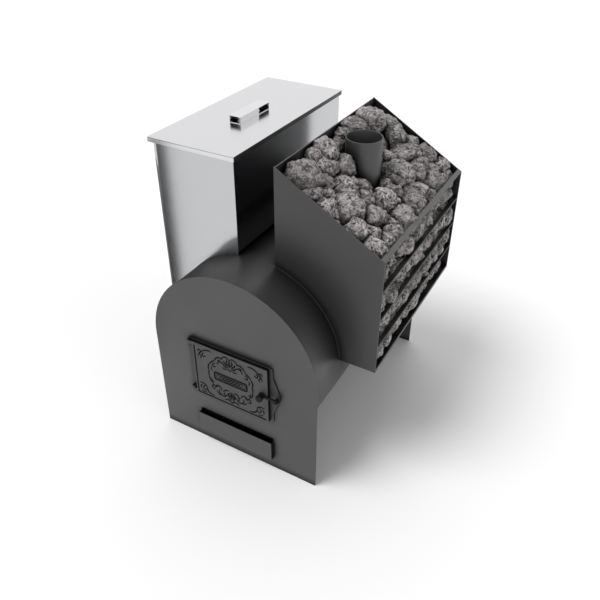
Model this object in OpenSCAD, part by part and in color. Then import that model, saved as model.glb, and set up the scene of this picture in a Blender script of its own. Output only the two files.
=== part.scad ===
// Wood-fired sauna stove. A round-topped firebox hangs between two upright plates that
// stand on the floor. A stainless water tank straddles its left shoulder, and a sheet
// steel basket of stones, with the flue rising through it, stands on its right one.

/* [Stove body] */
// Width of the front and back plates
body_w = 600; // [560:10:680]
// Height at which the plates' upright sides turn into the round top
side_h = 408; // [380:4:460]
// Depth from the front plate's face to the back plate's far face
body_d = 848; // [820:4:1000]
// Thickness of the front and back plates
plate_t = 5; // [4:0.5:8]
// Thickness of the rolled firebox shell
shell_t = 5; // [4:0.5:7]
// Step from the plates' edge in to the shell's outer face
shell_step = 3; // [2:0.5:6]
// Height at which the shell's upright walls turn inward to the hearth
wall_base_h = 345; // [300:5:370]
// Height of the hearth plate's underside
hearth_h = 150; // [145:1:170]
// Half the outer width of the shell where it meets the hearth plate
hearth_half_w = 152; // [148:1:180]

/* [Hearth] */
// Thickness of the hearth plate
hearth_t = 6; // [4:0.5:10]
// Width of the cast grate
grate_w = 210; // [160:5:230]
// Length of the cast grate
grate_l = 310; // [240:5:400]
// Thickness of the cast grate
grate_t = 14; // [10:1:20]
// Distance from the front plate's inner face to the grate
grate_setback = 120; // [60:5:160]
// Number of air slots in the grate
grate_slots = 9; // [5:1:12]
// Height of the smoke baffle's underside above the straight sides
baffle_rise = 112; // [90:2:122]
// Thickness of the smoke baffle
baffle_t = 5; // [4:0.5:8]
// Smoke gap between the baffle's front edge and the front plate
baffle_gap = 150; // [120:5:200]

/* [Flue] */
// Outer diameter of the flue pipe
flue_d = 115; // [100:1:130]
// Wall thickness of the flue pipe
flue_t = 3; // [2:0.5:4]
// Flue axis, distance right of the stove's centre
flue_x = 190; // [170:2:200]
// Flue axis, distance behind the front plate's face
flue_y = 486; // [420:2:560]
// Height of the flue pipe's open end
flue_top_h = 1013; // [990:1:1100]

/* [Door] */
// Width of the door leaf
door_w = 278; // [260:2:300]
// Height of the door leaf
door_h = 218; // [200:2:240]
// Height of the door's centre
door_mid_h = 334; // [325:1:345]
// Thickness of the door leaf
door_t = 10; // [8:0.5:14]
// Thickness of the frame's flange on the front plate
frame_t = 4; // [3:0.5:8]
// Width of the fire door's mouth
mouth_w = 230; // [200:2:236]
// Height of the fire door's mouth
mouth_h = 168; // [140:2:176]
// Wall thickness of the frame's neck
neck_t = 5; // [4:0.5:6]
// How far the frame's neck reaches into the firebox
neck_reach = 22; // [16:1:40]
// How far the frame reaches past the leaf on its hinge side
frame_hinge_side = 24; // [22:1:30]
// How far the frame reaches past the leaf on its latch side
frame_latch_side = 12; // [6:1:20]
// How far the latch lug stands out past the frame's edge
lug_reach = 22; // [18:1:34]
// Height of the latch lug at its root
lug_h = 150; // [90:2:180]
// Height of the latch lug at its tip
lug_tip_h = 30; // [20:2:60]
// Width of the raised border round the leaf
border_w = 7; // [4:0.5:12]
// Height of the relief on the leaf
relief_h = 1.5; // [1:0.25:3]
// Width of the bare plaque in the leaf's middle
plaque_w = 124; // [80:2:150]
// Height of the bare plaque in the leaf's middle
plaque_h = 34; // [20:1:50]
// Outer radius of the ring round the plaque
wreath_r = 84; // [70:1:90]
// Width of the ring round the plaque
wreath_w = 6; // [4:0.5:12]

/* [Door hinge and latch] */
// Distance from the leaf's edge to the hinge axis
hinge_offset = 14; // [12:0.5:16]
// Outer diameter of a hinge knuckle
knuckle_d = 14; // [12:0.5:16]
// Height of a hinge knuckle
knuckle_h = 15; // [10:1:25]
// Height of a hinge ear on the frame
ear_h = 6; // [5:0.5:12]
// Diameter of a hinge pin
pin_d = 6; // [5:0.5:8]
// Distance from the leaf's latch edge to the latch spindle
latch_inset = 21; // [18:1:30]
// Diameter of the latch hub
latch_hub_d = 22; // [18:1:26]
// Thickness of the latch hub and tongue
latch_t = 6; // [4:0.5:8]
// Height of the latch tongue
tongue_h = 8; // [6:0.5:12]
// Diameter of the latch spindle
spindle_d = 10; // [8:0.5:12]
// Diameter of the ball knob
knob_d = 24; // [20:1:30]
// Width of the catch that the tongue rests on
catch_w = 12; // [8:1:16]
// Height of the catch
catch_h = 11; // [8:1:14]

/* [Ash drawer] */
// Width of the drawer's box front
drawer_w = 290; // [270:2:296]
// Height of the box front's lower edge
drawer_low_h = 46; // [44:1:56]
// Height of the box front's upper edge
drawer_top_h = 126; // [120:1:130]
// How far the box front stands out from the front plate
drawer_out = 14; // [10:1:30]
// Height of the slot that stays open above the box front
slot_rise = 12; // [8:1:14]
// Length of the ash pan
pan_l = 560; // [460:5:640]
// Height of the ash pan's walls
pan_h = 78; // [50:1:84]
// Sheet thickness of the ash pan and the box front
pan_t = 2; // [1.5:0.25:3]
// Sheet thickness of the ash channel
channel_t = 3; // [2:0.5:4]
// How far the drawer slides out
drawer_travel = 450; // [300:10:500]

/* [Water tank] */
// Distance from the stove's centre to the tank's outer wall
tank_out_x = 350; // [335:1:365]
// Distance from the stove's centre to the tank's inner wall
tank_in_x = 54; // [40:1:70]
// Distance from the front plate's face to the tank's front
tank_y = 144; // [120:2:180]
// Distance from the tank's rear end to the back plate's far face
tank_back = 40; // [20:1:80]
// Height of the tank's lowest edge
tank_low_h = 430; // [415:1:460]
// Sheet thickness of the tank
tank_t = 2; // [1:0.25:3]
// Radius of the tank's two outer upright corners
tank_corner_r = 20; // [12:1:35]
// Gap between the firebox shell and the tank's saddle
tank_gap = 10; // [6:1:16]
// Width of each curved rest under the tank
rest_w = 30; // [20:1:50]
// Distance from each end of the tank to its rest
rest_inset = 30; // [20:1:80]
// Height of the lid's upper face
lid_top_h = 1025; // [1000:1:1100]
// Sheet thickness of the lid
lid_t = 2; // [1:0.25:3]
// Height of the lid's turned-down edge
lid_lip_h = 15; // [10:1:25]
// Gap between the tank and the lid's turned-down edge
lid_gap = 4; // [3:0.5:6]
// Height that the lid lifts off
lid_lift = 300; // [100:10:400]
// Bore diameter of the drain socket
socket_bore_d = 24.2; // [18:0.1:30]
// Outer diameter of the drain socket
socket_d = 33; // [32:0.5:40]
// Length of the drain socket outside the wall
socket_l = 18; // [14:1:30]
// Height of the drain socket's axis above the tank's lowest edge
socket_rise = 40; // [34:1:80]
// Distance from the tank's rear end to the drain socket
socket_setback = 90; // [60:2:200]

/* [Lid handle] */
// Width of the box-section handle
handle_w = 43; // [36:1:60]
// Length of the handle
handle_l = 165; // [120:1:200]
// Height of the handle
handle_h = 23; // [20:0.5:40]
// Sheet thickness of the handle
handle_t = 2; // [1:0.25:3]
// Distance from the stove's centre to the handle's middle
handle_x = 190; // [170:1:220]
// Distance from the tank's front to the handle's open end
handle_y = 213; // [150:1:300]
// Length of the grip window in the handle's side
grip_l = 60; // [40:1:90]
// Diameter of a rivet's shank
rivet_d = 5; // [4:0.5:6]

/* [Stone basket] */
// Distance from the stove's centre to the basket's inner wall
basket_in_x = 72; // [60:1:90]
// Distance from the stove's centre to the basket's open outer side
basket_out_x = 415; // [390:1:440]
// Distance from the front plate's face to the basket's front plate
basket_y = 152; // [130:2:180]
// Distance from the basket's rear plate to the back plate's far face
basket_back = 27; // [10:1:60]
// Sheet thickness of the basket
basket_t = 4; // [3:0.5:6]
// Height of the basket's underside
basket_low_h = 426; // [412:1:450]
// Height of the basket's top at its inner wall
basket_top_h = 1019; // [960:1:1080]
// Height of the basket's top at its open side
basket_side_h = 816; // [780:1:860]
// Width of the sloping rail along the open side
rail_w = 16; // [12:1:30]
// Width of a flat slat
slat_w = 15; // [12:1:28]
// Number of slats between the floor and the rail
slats = 3; // [2:1:4]
// Height of the floor's outer lip
tray_lip_h = 10; // [8:1:24]

/* [Stones] */
// Smallest gap between two stones
stone_gap = 0.4; // [0.3:0.1:2]
// Usual length of a stone
stone_l = 88; // [70:2:120]
// How far the stones are heaped above the basket's sloping edge by the inner wall
pile_rise = 24; // [0:2:40]

/* [Fasteners] */
// Diameter of the door frame's bolts
bolt_d = 6; // [5:0.5:7]
// Head diameter of the door frame's bolts
bolt_head_d = 11; // [9:0.5:13]
// Nut width of the door frame's bolts
nut_w = 9; // [8:0.5:10]
// Nut height of the door frame's bolts
nut_h = 5; // [4:0.5:6]
// Diameter of the heat shield's screws
screw_d = 5; // [4:0.5:6]
// Head diameter of the heat shield's screws
screw_head_d = 9; // [8:0.5:12]
// Head height of the heat shield's screws
screw_head_h = 2.5; // [2:0.25:4]

/* [Hidden] */

// Small clearances
seat_gap = 0.3;
pin_play = 0.05;
bolt_play = 0.3;
// One overrun serves all cuts
over = 20;
round_fn = 96;
small_fn = 48;
knob_fn = 180;

// Body
arch_r = body_w / 2;
shell_r = arch_r - shell_step;
inner_r = shell_r - shell_t;
baffle_h = side_h + baffle_rise;
inner_y0 = plate_t;
inner_y1 = body_d - plate_t;
floor_top_h = hearth_h + hearth_t;

// Door
door_x0 = -door_w / 2;
door_x1 = door_w / 2;
door_z0 = door_mid_h - door_h / 2;
door_z1 = door_mid_h + door_h / 2;
leaf_back_y = -frame_t - seat_gap;
leaf_front_y = leaf_back_y - door_t;
relief_y = leaf_front_y - relief_h;
frame_x0 = door_x0 - frame_hinge_side;
frame_x1 = door_x1 + frame_latch_side;
lug_x = frame_x1 + lug_reach;
neck_w = mouth_w + 2 * neck_t;
neck_h = mouth_h + 2 * neck_t;
neck_y1 = plate_t + neck_reach;
// The bolts sit midway between the neck and the leaf's edge
bolt_x = (neck_w / 2 + door_w / 2) / 2;
bolt_z = neck_h / 2 - bolt_head_d;
bolt_head_h = (bolt_head_d - bolt_d) / 2;

// Hinge
hinge_x = door_x0 - hinge_offset;
hinge_y = leaf_back_y - knuckle_d / 2;
knuckle_zs = [door_z0, door_z1 - knuckle_h];
pin_head_h = pin_d / 2;

// Heat shield behind the leaf
shield_gap = 12;
shield_t = 3;
shield_margin = 9;
shield_w = mouth_w - 2 * shield_margin;
shield_h = mouth_h - 2 * shield_margin;
shield_y0 = leaf_back_y + shield_gap;
shield_y1 = shield_y0 + shield_t;
boss_d = 14;
boss_inset = 14;
screw_x = shield_w / 2 - boss_inset;
screw_z = shield_h / 2 - boss_inset;

// Latch
latch_x = door_x1 - latch_inset;
latch_y1 = relief_y - seat_gap;
latch_y0 = latch_y1 - latch_t;
neck_l = 4;
knob_neck_d = 10;
knob_y = latch_y0 + 1 - knob_d / 2;
latch_nut_t = 4;
latch_nut_d = 20;
// The nut lies in a recess in the leaf's back
latch_nut_y1 = leaf_back_y - seat_gap;
latch_nut_y0 = latch_nut_y1 - latch_nut_t;
catch_x1 = lug_x - seat_gap;
catch_top = door_mid_h - tongue_h / 2 - seat_gap;

// Ash drawer
channel_half_w = hearth_half_w - shell_t - channel_t;
pan_side_gap = 4;
pan_half_w = channel_half_w - pan_side_gap;
channel_floor_h = drawer_low_h - seat_gap - channel_t;
pan_low_h = channel_floor_h + channel_t + seat_gap;
pan_y0 = plate_t;
slot_low_h = channel_floor_h;
slot_top_h = drawer_top_h + slot_rise;
channel_l = pan_l + 3 * plate_t;

// Tank
saddle_r = shell_r + tank_gap;
tank_y1 = body_d - tank_back;
tank_rim_h = lid_top_h - lid_t - seat_gap;
lid_out = lid_gap + lid_t;
lid_x0 = -tank_out_x - lid_out;
lid_x1 = -tank_in_x + lid_out;
socket_h = tank_low_h + socket_rise;
socket_y = tank_y1 - socket_setback;

// Handle
handle_x0 = -handle_x - handle_w / 2;
handle_y0 = tank_y + handle_y;
handle_y1 = handle_y0 + handle_l;
rivet_head_d = 2 * rivet_d;
rivet_head_h = rivet_d / 2;
rivet_shares = [0.2, 0.8];

// Basket
basket_y1 = body_d - basket_back;
wall_x1 = basket_in_x + basket_t;
inside_y0 = basket_y + basket_t;
inside_y1 = basket_y1 - basket_t;
tray_top_h = basket_low_h + basket_t;
slat_pitch = (basket_side_h - basket_low_h) / (slats + 1);
slope_rise = (basket_top_h - basket_side_h) / (basket_out_x - basket_in_x);
slope_a = atan(slope_rise);
seat_r = shell_r + seat_gap;

// Overall box, used to set the origin at the middle of the footprint
low_x = -tank_out_x - socket_l;
high_x = basket_out_x;
low_y = knob_y - knob_d / 2;
high_y = body_d;

// Colours
steel = "#57575a";
steel_dark = "#4a4a4d";
iron = "#3f3f42";
stainless = "#c9cbcd";
raw = "#8b8c8e";

// Puts the origin on the floor, midway between the outermost faces
module place() {
    translate([-(low_x + high_x) / 2, -(low_y + high_y) / 2, 0]) children();
}

// Extrudes a front-view outline (x, z) from y0 to y1
module slab(y0, y1) {
    translate([0, y1, 0]) rotate([90, 0, 0]) linear_extrude(y1 - y0) children();
}

// A box given by its two corners
module block(a, b) {
    translate(a) cube(b - a);
}

// A round bar along Y, from y0 to y1
module bar_y(x, z, d, y0, y1) {
    translate([x, y1, z]) rotate([90, 0, 0]) cylinder(d = d, h = y1 - y0, $fn = small_fn);
}

// The cylinder round the arch's axis
module arch_cylinder(r, y0, y1) {
    translate([0, y1, side_h]) rotate([90, 0, 0]) cylinder(r = r, h = y1 - y0, $fn = round_fn);
}

module centred(w, h) {
    translate([-w / 2, -h / 2]) square([w, h]);
}

// Outline of the front and back plates
module plate_outline() {
    translate([-arch_r, 0]) square([body_w, side_h]);
    translate([0, side_h]) circle(r = arch_r, $fn = round_fn);
}

module front_plate() {
    color(steel) place() slab(0, plate_t) difference() {
        plate_outline();
        translate([0, door_mid_h]) centred(neck_w + 2 * seat_gap, neck_h + 2 * seat_gap);
        translate([-channel_half_w, slot_low_h])
            square([2 * channel_half_w, slot_top_h - slot_low_h]);
        for (x = [-bolt_x, bolt_x], z = [-bolt_z, bolt_z])
            translate([x, door_mid_h + z]) circle(d = bolt_d + 2 * bolt_play, $fn = small_fn);
    }
}

module back_plate() {
    color(steel) place() slab(inner_y1, body_d) plate_outline();
}

// Outline of the firebox, drawn in by d from its outer face
module firebox_outline(d) {
    difference() {
        translate([0, side_h]) circle(r = shell_r - d, $fn = round_fn);
        translate([-shell_r - over, side_h - shell_r - over]) square([2 * (shell_r + over), shell_r + over]);
    }
    polygon([
        [-shell_r + d, side_h], [-shell_r + d, wall_base_h], [-hearth_half_w + d, hearth_h],
        [hearth_half_w - d, hearth_h], [shell_r - d, wall_base_h], [shell_r - d, side_h]
    ]);
}

module firebox_shell() {
    color(steel) place() difference() {
        slab(inner_y0, inner_y1) difference() {
            firebox_outline(0);
            firebox_outline(shell_t);
        }
        translate([flue_x, flue_y, side_h])
            cylinder(d = flue_d + 2 * seat_gap, h = arch_r + over, $fn = round_fn);
    }
}

// Half the clear width of the firebox at a height on its sloping walls
function slope_half_w(z) = hearth_half_w - shell_t
    + (shell_r - hearth_half_w) * (z - hearth_h) / (wall_base_h - hearth_h);

module hearth_plate() {
    color(raw) place() difference() {
        slab(inner_y0, inner_y1) polygon([
            [-slope_half_w(hearth_h), hearth_h], [slope_half_w(hearth_h), hearth_h],
            [slope_half_w(floor_top_h), floor_top_h], [-slope_half_w(floor_top_h), floor_top_h]
        ]);
        // Opening under the grate, one grate thickness smaller all round
        block(
            [-grate_w / 2 + grate_t, inner_y0 + grate_setback + grate_t, hearth_h - over],
            [grate_w / 2 - grate_t, inner_y0 + grate_setback + grate_l - grate_t, floor_top_h + over]
        );
    }
}

module fire_grate() {
    rim = grate_t;
    pitch = (grate_l - rim) / grate_slots;
    y0 = inner_y0 + grate_setback;
    color(iron) place() difference() {
        block([-grate_w / 2, y0, floor_top_h], [grate_w / 2, y0 + grate_l, floor_top_h + grate_t]);
        for (i = [0:grate_slots - 1])
            block(
                [-grate_w / 2 + rim, y0 + rim + i * pitch, floor_top_h - over],
                [grate_w / 2 - rim, y0 + (i + 1) * pitch, floor_top_h + grate_t + over]
            );
    }
}

// Half the clear width of the firebox under the arch at height z
function arch_half_w(r, z) = sqrt(pow(r, 2) - pow(z - side_h, 2));

module smoke_baffle() {
    w = arch_half_w(inner_r, baffle_h + baffle_t) - seat_gap;
    color(raw) place() block(
        [-w, inner_y0 + baffle_gap, baffle_h],
        [w, inner_y1, baffle_h + baffle_t]
    );
}

module ash_channel() {
    w = channel_half_w + channel_t;
    y1 = inner_y0 + channel_l;
    color(steel_dark) place() difference() {
        block([-w, inner_y0, channel_floor_h], [w, y1, hearth_h]);
        block([-channel_half_w, inner_y0 - over, channel_floor_h + channel_t],
            [channel_half_w, y1 - channel_t, hearth_h + over]);
    }
}

module flue_pipe() {
    // The lower end reaches just inside the arch on its outer side
    low = side_h + sqrt(pow(inner_r, 2) - pow(flue_x + flue_d / 2, 2)) - flue_t;
    color(steel) place() translate([flue_x, flue_y, low]) difference() {
        cylinder(d = flue_d, h = flue_top_h - low, $fn = round_fn);
        translate([0, 0, -over])
            cylinder(d = flue_d - 2 * flue_t, h = flue_top_h - low + 2 * over, $fn = round_fn);
    }
}

// Door frame, with a neck through the plate, two hinge ears and a lug for the catch
module door_frame() {
    color(iron) place() difference() {
        union() {
            slab(-frame_t, 0) {
                translate([frame_x0, door_z0]) square([frame_x1 - frame_x0, door_h]);
                polygon([
                    [frame_x1 - over, door_mid_h - lug_h / 2], [frame_x1, door_mid_h - lug_h / 2],
                    [lug_x, door_mid_h - lug_tip_h / 2], [lug_x, door_mid_h + lug_tip_h / 2],
                    [frame_x1, door_mid_h + lug_h / 2], [frame_x1 - over, door_mid_h + lug_h / 2]
                ]);
            }
            slab(-frame_t, neck_y1) translate([0, door_mid_h]) centred(neck_w, neck_h);
            for (z = knuckle_zs) hinge_ear(z == door_z0 ? z + knuckle_h + seat_gap : z - seat_gap - ear_h);
        }
        slab(-frame_t - over, neck_y1 + over)
            translate([0, door_mid_h]) centred(mouth_w, mouth_h);
        for (x = [-bolt_x, bolt_x], z = [-bolt_z, bolt_z])
            bar_y(x, door_mid_h + z, bolt_d + 2 * bolt_play, -frame_t - over, over);
        for (x = [-bolt_x, bolt_x], z = [-bolt_z, bolt_z])
            countersink(x, door_mid_h + z, bolt_play);
        for (z = knuckle_zs)
            translate([hinge_x, hinge_y, z - over]) cylinder(d = pin_d, h = knuckle_h + 2 * over, $fn = small_fn);
    }
}

module hinge_ear(z) {
    r = knuckle_d / 2;
    translate([hinge_x, hinge_y, z]) cylinder(r = r, h = ear_h, $fn = small_fn);
    block([hinge_x - r, hinge_y, z], [hinge_x + r, -frame_t, z + ear_h]);
}

// Cone of a countersunk head, its wide end at the flange's face
module countersink(x, z, play) {
    translate([x, -frame_t + bolt_head_h, z]) rotate([90, 0, 0])
        cylinder(d1 = bolt_d + 2 * play, d2 = bolt_head_d + 2 * play, h = bolt_head_h, $fn = small_fn);
}

module door_frame_bolts() {
    color(iron) place() for (x = [-bolt_x, bolt_x], z = [-bolt_z, bolt_z]) {
        bar_y(x, door_mid_h + z, bolt_d, -frame_t, plate_t + nut_h + bolt_d / 2);
        countersink(x, door_mid_h + z, 0);
    }
}

module door_frame_nuts() {
    color(iron) place() for (x = [-bolt_x, bolt_x], z = [-bolt_z, bolt_z]) difference() {
        translate([x, plate_t + nut_h, door_mid_h + z]) rotate([90, 0, 0])
            cylinder(d = nut_w / cos(30), h = nut_h, $fn = 6);
        bar_y(x, door_mid_h + z, bolt_d + 2 * pin_play, plate_t - over, plate_t + nut_h + over);
    }
}

// Each pin hangs by its head on its knuckle or ear and passes through both
module door_hinge_pins() {
    color(raw) place() for (z = knuckle_zs) {
        low = z == door_z0 ? z : z - ear_h - seat_gap;
        top = low + knuckle_h + ear_h + seat_gap;
        translate([hinge_x, hinge_y, low - pin_d / 2]) cylinder(d = pin_d, h = top - low + pin_d / 2, $fn = small_fn);
        translate([hinge_x, hinge_y, top + seat_gap]) cylinder(d = 1.7 * pin_d, h = pin_head_h, $fn = small_fn);
        translate([hinge_x, hinge_y, top]) cylinder(d = pin_d, h = seat_gap, $fn = small_fn);
    }
}

module latch_catch() {
    color(iron) place() translate([catch_x1 - catch_w, 0, 0]) rotate([90, 0, 90]) linear_extrude(catch_w)
        polygon([
            [-frame_t, catch_top - catch_h], [-frame_t, catch_top],
            [latch_y0, catch_top], [latch_y0, catch_top - catch_h / 2]
        ]);
}

module door_leaf() {
    color(iron) place() difference() {
        union() {
            slab(leaf_front_y, leaf_back_y) translate([0, door_mid_h]) centred(door_w, door_h);
            // Raised border, ring and plaque
            slab(relief_y, leaf_front_y) translate([0, door_mid_h]) difference() {
                centred(door_w, door_h);
                centred(door_w - 2 * border_w, door_h - 2 * border_w);
            }
            slab(relief_y, leaf_front_y) translate([0, door_mid_h]) difference() {
                circle(r = wreath_r, $fn = round_fn);
                circle(r = wreath_r - wreath_w, $fn = round_fn);
            }
            slab(relief_y, leaf_front_y) translate([0, door_mid_h]) centred(plaque_w, plaque_h);
            for (x = [-screw_x, screw_x], z = [-screw_z, screw_z])
                bar_y(x, door_mid_h + z, boss_d, leaf_back_y, shield_y0);
            for (z = knuckle_zs) {
                block([hinge_x, leaf_front_y, z], [door_x0, leaf_back_y, z + knuckle_h]);
                translate([hinge_x, hinge_y, z]) cylinder(d = knuckle_d, h = knuckle_h, $fn = small_fn);
            }
        }
        for (z = knuckle_zs)
            translate([hinge_x, hinge_y, z - over])
                cylinder(d = pin_d + 2 * pin_play, h = knuckle_h + 2 * over, $fn = small_fn);
        bar_y(latch_x, door_mid_h, spindle_d + 2 * pin_play, relief_y - over, leaf_back_y + over);
        bar_y(latch_x, door_mid_h, latch_nut_d + 2 * seat_gap, latch_nut_y0 - seat_gap, leaf_back_y + over);
        for (x = [-screw_x, screw_x], z = [-screw_z, screw_z])
            bar_y(x, door_mid_h + z, screw_d + 2 * pin_play, leaf_back_y, shield_y0 + over);
    }
}

module door_heat_shield() {
    color(raw) place() difference() {
        slab(shield_y0, shield_y1) translate([0, door_mid_h]) centred(shield_w, shield_h);
        for (x = [-screw_x, screw_x], z = [-screw_z, screw_z])
            bar_y(x, door_mid_h + z, screw_d + 2 * bolt_play, shield_y0 - over, shield_y1 + over);
    }
}

module shield_screws() {
    color(raw) place() for (x = [-screw_x, screw_x], z = [-screw_z, screw_z]) {
        bar_y(x, door_mid_h + z, screw_d, leaf_back_y + seat_gap, shield_y1 + screw_head_h);
        bar_y(x, door_mid_h + z, screw_head_d, shield_y1, shield_y1 + screw_head_h);
    }
}

module latch_lever() {
    color(iron) place() {
        bar_y(latch_x, door_mid_h, latch_hub_d, latch_y0, latch_y1);
        bar_y(latch_x, door_mid_h, knob_neck_d, latch_y0 - neck_l, latch_y0);
        bar_y(latch_x, door_mid_h, spindle_d, latch_y1, latch_nut_y1);
        block([latch_x, latch_y0, door_mid_h - tongue_h / 2], [lug_x, latch_y1, door_mid_h + tongue_h / 2]);
    }
}

// Ball knob, turned from one profile: a ball with a flat seat and a blind bore
module latch_knob() {
    seat = latch_y0 - knob_y;
    color("#232325") place() translate([latch_x, knob_y, door_mid_h]) rotate([-90, 0, 0])
        rotate_extrude($fn = knob_fn) difference() {
            circle(d = knob_d, $fn = knob_fn);
            translate([-knob_d, -knob_d]) square([knob_d, 2 * knob_d]);
            translate([0, seat]) square([knob_d, knob_d]);
            translate([0, seat - neck_l]) square([knob_neck_d / 2, knob_d]);
        }
}

module latch_nut() {
    color(iron) place() difference() {
        bar_y(latch_x, door_mid_h, latch_nut_d, latch_nut_y0, latch_nut_y1);
        bar_y(latch_x, door_mid_h, spindle_d, latch_nut_y0 - over, latch_nut_y1 + over);
    }
}

module ash_drawer_pan() {
    z1 = pan_low_h + pan_h;
    color(raw) place() difference() {
        block([-pan_half_w, pan_y0, pan_low_h], [pan_half_w, pan_y0 + pan_l, z1]);
        block([-pan_half_w + pan_t, pan_y0 + pan_t, pan_low_h + pan_t],
            [pan_half_w - pan_t, pan_y0 + pan_l - pan_t, z1 + over]);
    }
}

// Box front, open at its top: a face, two cheeks and a bottom that runs through the slot to the pan
module ash_drawer_front() {
    side = drawer_w / 2;
    color(steel) place() {
        difference() {
            block([-side, -drawer_out, drawer_low_h], [side, -seat_gap, drawer_top_h]);
            block([-side + pan_t, -drawer_out + pan_t, drawer_low_h + pan_t],
                [side - pan_t, over, drawer_top_h + over]);
        }
        block([-pan_half_w, -seat_gap - pan_t, drawer_low_h], [pan_half_w, pan_y0, drawer_low_h + pan_t]);
    }
}

// Outline of the tank in plan, drawn in by d from its outer face
module tank_plan(d) {
    r = tank_corner_r - d;
    x0 = -tank_out_x + d;
    y0 = tank_y + d;
    x1 = -tank_in_x - d;
    y1 = tank_y1 - d;
    translate([x0 + r, y0 + r]) circle(r = r, $fn = small_fn);
    translate([x0 + r, y1 - r]) circle(r = r, $fn = small_fn);
    translate([x0, y0 + r]) square([x1 - x0, y1 - y0 - 2 * r]);
    translate([x0 + r, y0]) square([x1 - x0 - r, y1 - y0]);
}

module tank_walls() {
    color(stainless) place() difference() {
        translate([0, 0, tank_low_h]) linear_extrude(tank_rim_h - tank_low_h) difference() {
            tank_plan(0);
            tank_plan(tank_t);
        }
        arch_cylinder(saddle_r, tank_y - over, tank_y1 + over);
        translate([-tank_out_x - over, socket_y, socket_h]) rotate([0, 90, 0])
            cylinder(d = socket_bore_d, h = 2 * over, $fn = small_fn);
    }
}

// Curved bottom of the tank, with the narrow flat strip at its outer side
module tank_saddle() {
    color(stainless) place() difference() {
        intersection() {
            translate([0, 0, tank_low_h]) linear_extrude(tank_rim_h - tank_low_h) tank_plan(tank_t);
            union() {
                arch_cylinder(saddle_r + tank_t, tank_y - over, tank_y1 + over);
                block([-tank_out_x, tank_y, tank_low_h], [-tank_in_x, tank_y1, tank_low_h + tank_t]);
            }
        }
        arch_cylinder(saddle_r, tank_y - over, tank_y1 + over);
    }
}

// Two curved bars that carry the tank on the firebox shell
module tank_rests() {
    z0 = side_h + sqrt(pow(saddle_r, 2) - pow(arch_r - tank_gap, 2));
    color(steel_dark) place() intersection() {
        for (y = [tank_y + rest_inset, tank_y1 - rest_inset - rest_w]) difference() {
            arch_cylinder(saddle_r - seat_gap, y, y + rest_w);
            arch_cylinder(shell_r, y - over, y + rest_w + over);
        }
        block([-saddle_r, tank_y, z0], [-tank_in_x - rest_inset, tank_y1, side_h + saddle_r]);
    }
}

module tank_drain_socket() {
    color(stainless) place() translate([-tank_out_x - socket_l, socket_y, socket_h]) rotate([0, 90, 0]) difference() {
        cylinder(d = socket_d, h = socket_l, $fn = small_fn);
        translate([0, 0, -over]) cylinder(d = socket_bore_d, h = socket_l + 2 * over, $fn = small_fn);
    }
}

module tank_lid() {
    y0 = tank_y - lid_out;
    y1 = tank_y1 + lid_out;
    color(stainless) place() difference() {
        block([lid_x0, y0, lid_top_h - lid_lip_h], [lid_x1, y1, lid_top_h]);
        block([lid_x0 + lid_t, y0 + lid_t, lid_top_h - lid_lip_h - over],
            [lid_x1 - lid_t, y1 - lid_t, lid_top_h - lid_t]);
        for (s = rivet_shares)
            translate([-handle_x, handle_y0 + s * handle_l, lid_top_h - over])
                cylinder(d = rivet_d + 2 * pin_play, h = 2 * over, $fn = small_fn);
    }
}

// Folded box-section handle, open at the front, with a grip window near the back
module lid_handle() {
    x1 = handle_x0 + handle_w;
    z1 = lid_top_h + handle_h;
    color(stainless) place() difference() {
        block([handle_x0, handle_y0, lid_top_h], [x1, handle_y1, z1]);
        block([handle_x0 + handle_t, handle_y0 - over, lid_top_h + handle_t],
            [x1 - handle_t, handle_y1 - handle_t, z1 - handle_t]);
        block([x1 - handle_t - seat_gap, handle_y1 - handle_t - grip_l, lid_top_h + handle_t],
            [x1 + over, handle_y1 - handle_t, z1 - handle_t]);
        for (s = rivet_shares)
            translate([-handle_x, handle_y0 + s * handle_l, lid_top_h - handle_t])
                cylinder(d = rivet_d + 2 * pin_play, h = 3 * handle_t, $fn = small_fn);
    }
}

module lid_rivets() {
    low = lid_top_h - lid_t;
    top = lid_top_h + handle_t;
    color(stainless) place() for (s = rivet_shares) translate([-handle_x, handle_y0 + s * handle_l, 0]) {
        translate([0, 0, low - rivet_head_h]) cylinder(d = rivet_head_d, h = rivet_head_h, $fn = small_fn);
        translate([0, 0, low]) cylinder(d = rivet_d, h = top - low, $fn = small_fn);
        translate([0, 0, top]) cylinder(d = rivet_head_d, h = rivet_head_h, $fn = small_fn);
    }
}

// Front view of a basket end plate: sloping top, and a lower edge cut to the arch
module basket_end(y0, y1) {
    difference() {
        slab(y0, y1) polygon([
            [basket_in_x, side_h], [basket_in_x, basket_top_h],
            [basket_out_x, basket_side_h], [basket_out_x, basket_low_h],
            [side_h > basket_low_h ? shell_r : 0, basket_low_h]
        ]);
        arch_cylinder(seat_r, y0 - over, y1 + over);
    }
}

module basket_front_plate() {
    color(steel_dark) place() basket_end(basket_y, inside_y0);
}

module basket_rear_plate() {
    color(steel_dark) place() basket_end(inside_y1, basket_y1);
}

module basket_inner_wall() {
    color(steel_dark) place() difference() {
        block([basket_in_x, inside_y0, side_h], [wall_x1, inside_y1, slope_h(wall_x1)]);
        arch_cylinder(seat_r, inside_y0 - over, inside_y1 + over);
    }
}

// Height of the basket's sloping edge at a distance from the stove's centre
function slope_h(x) = basket_top_h - (x - basket_in_x) * slope_rise;

module basket_floor() {
    color(steel_dark) place() difference() {
        union() {
            block([0, inside_y0, basket_low_h], [basket_out_x, inside_y1, tray_top_h]);
            block([basket_out_x - basket_t, inside_y0, basket_low_h],
                [basket_out_x, inside_y1, basket_low_h + tray_lip_h]);
        }
        arch_cylinder(seat_r, inside_y0 - over, inside_y1 + over);
    }
}

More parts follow.
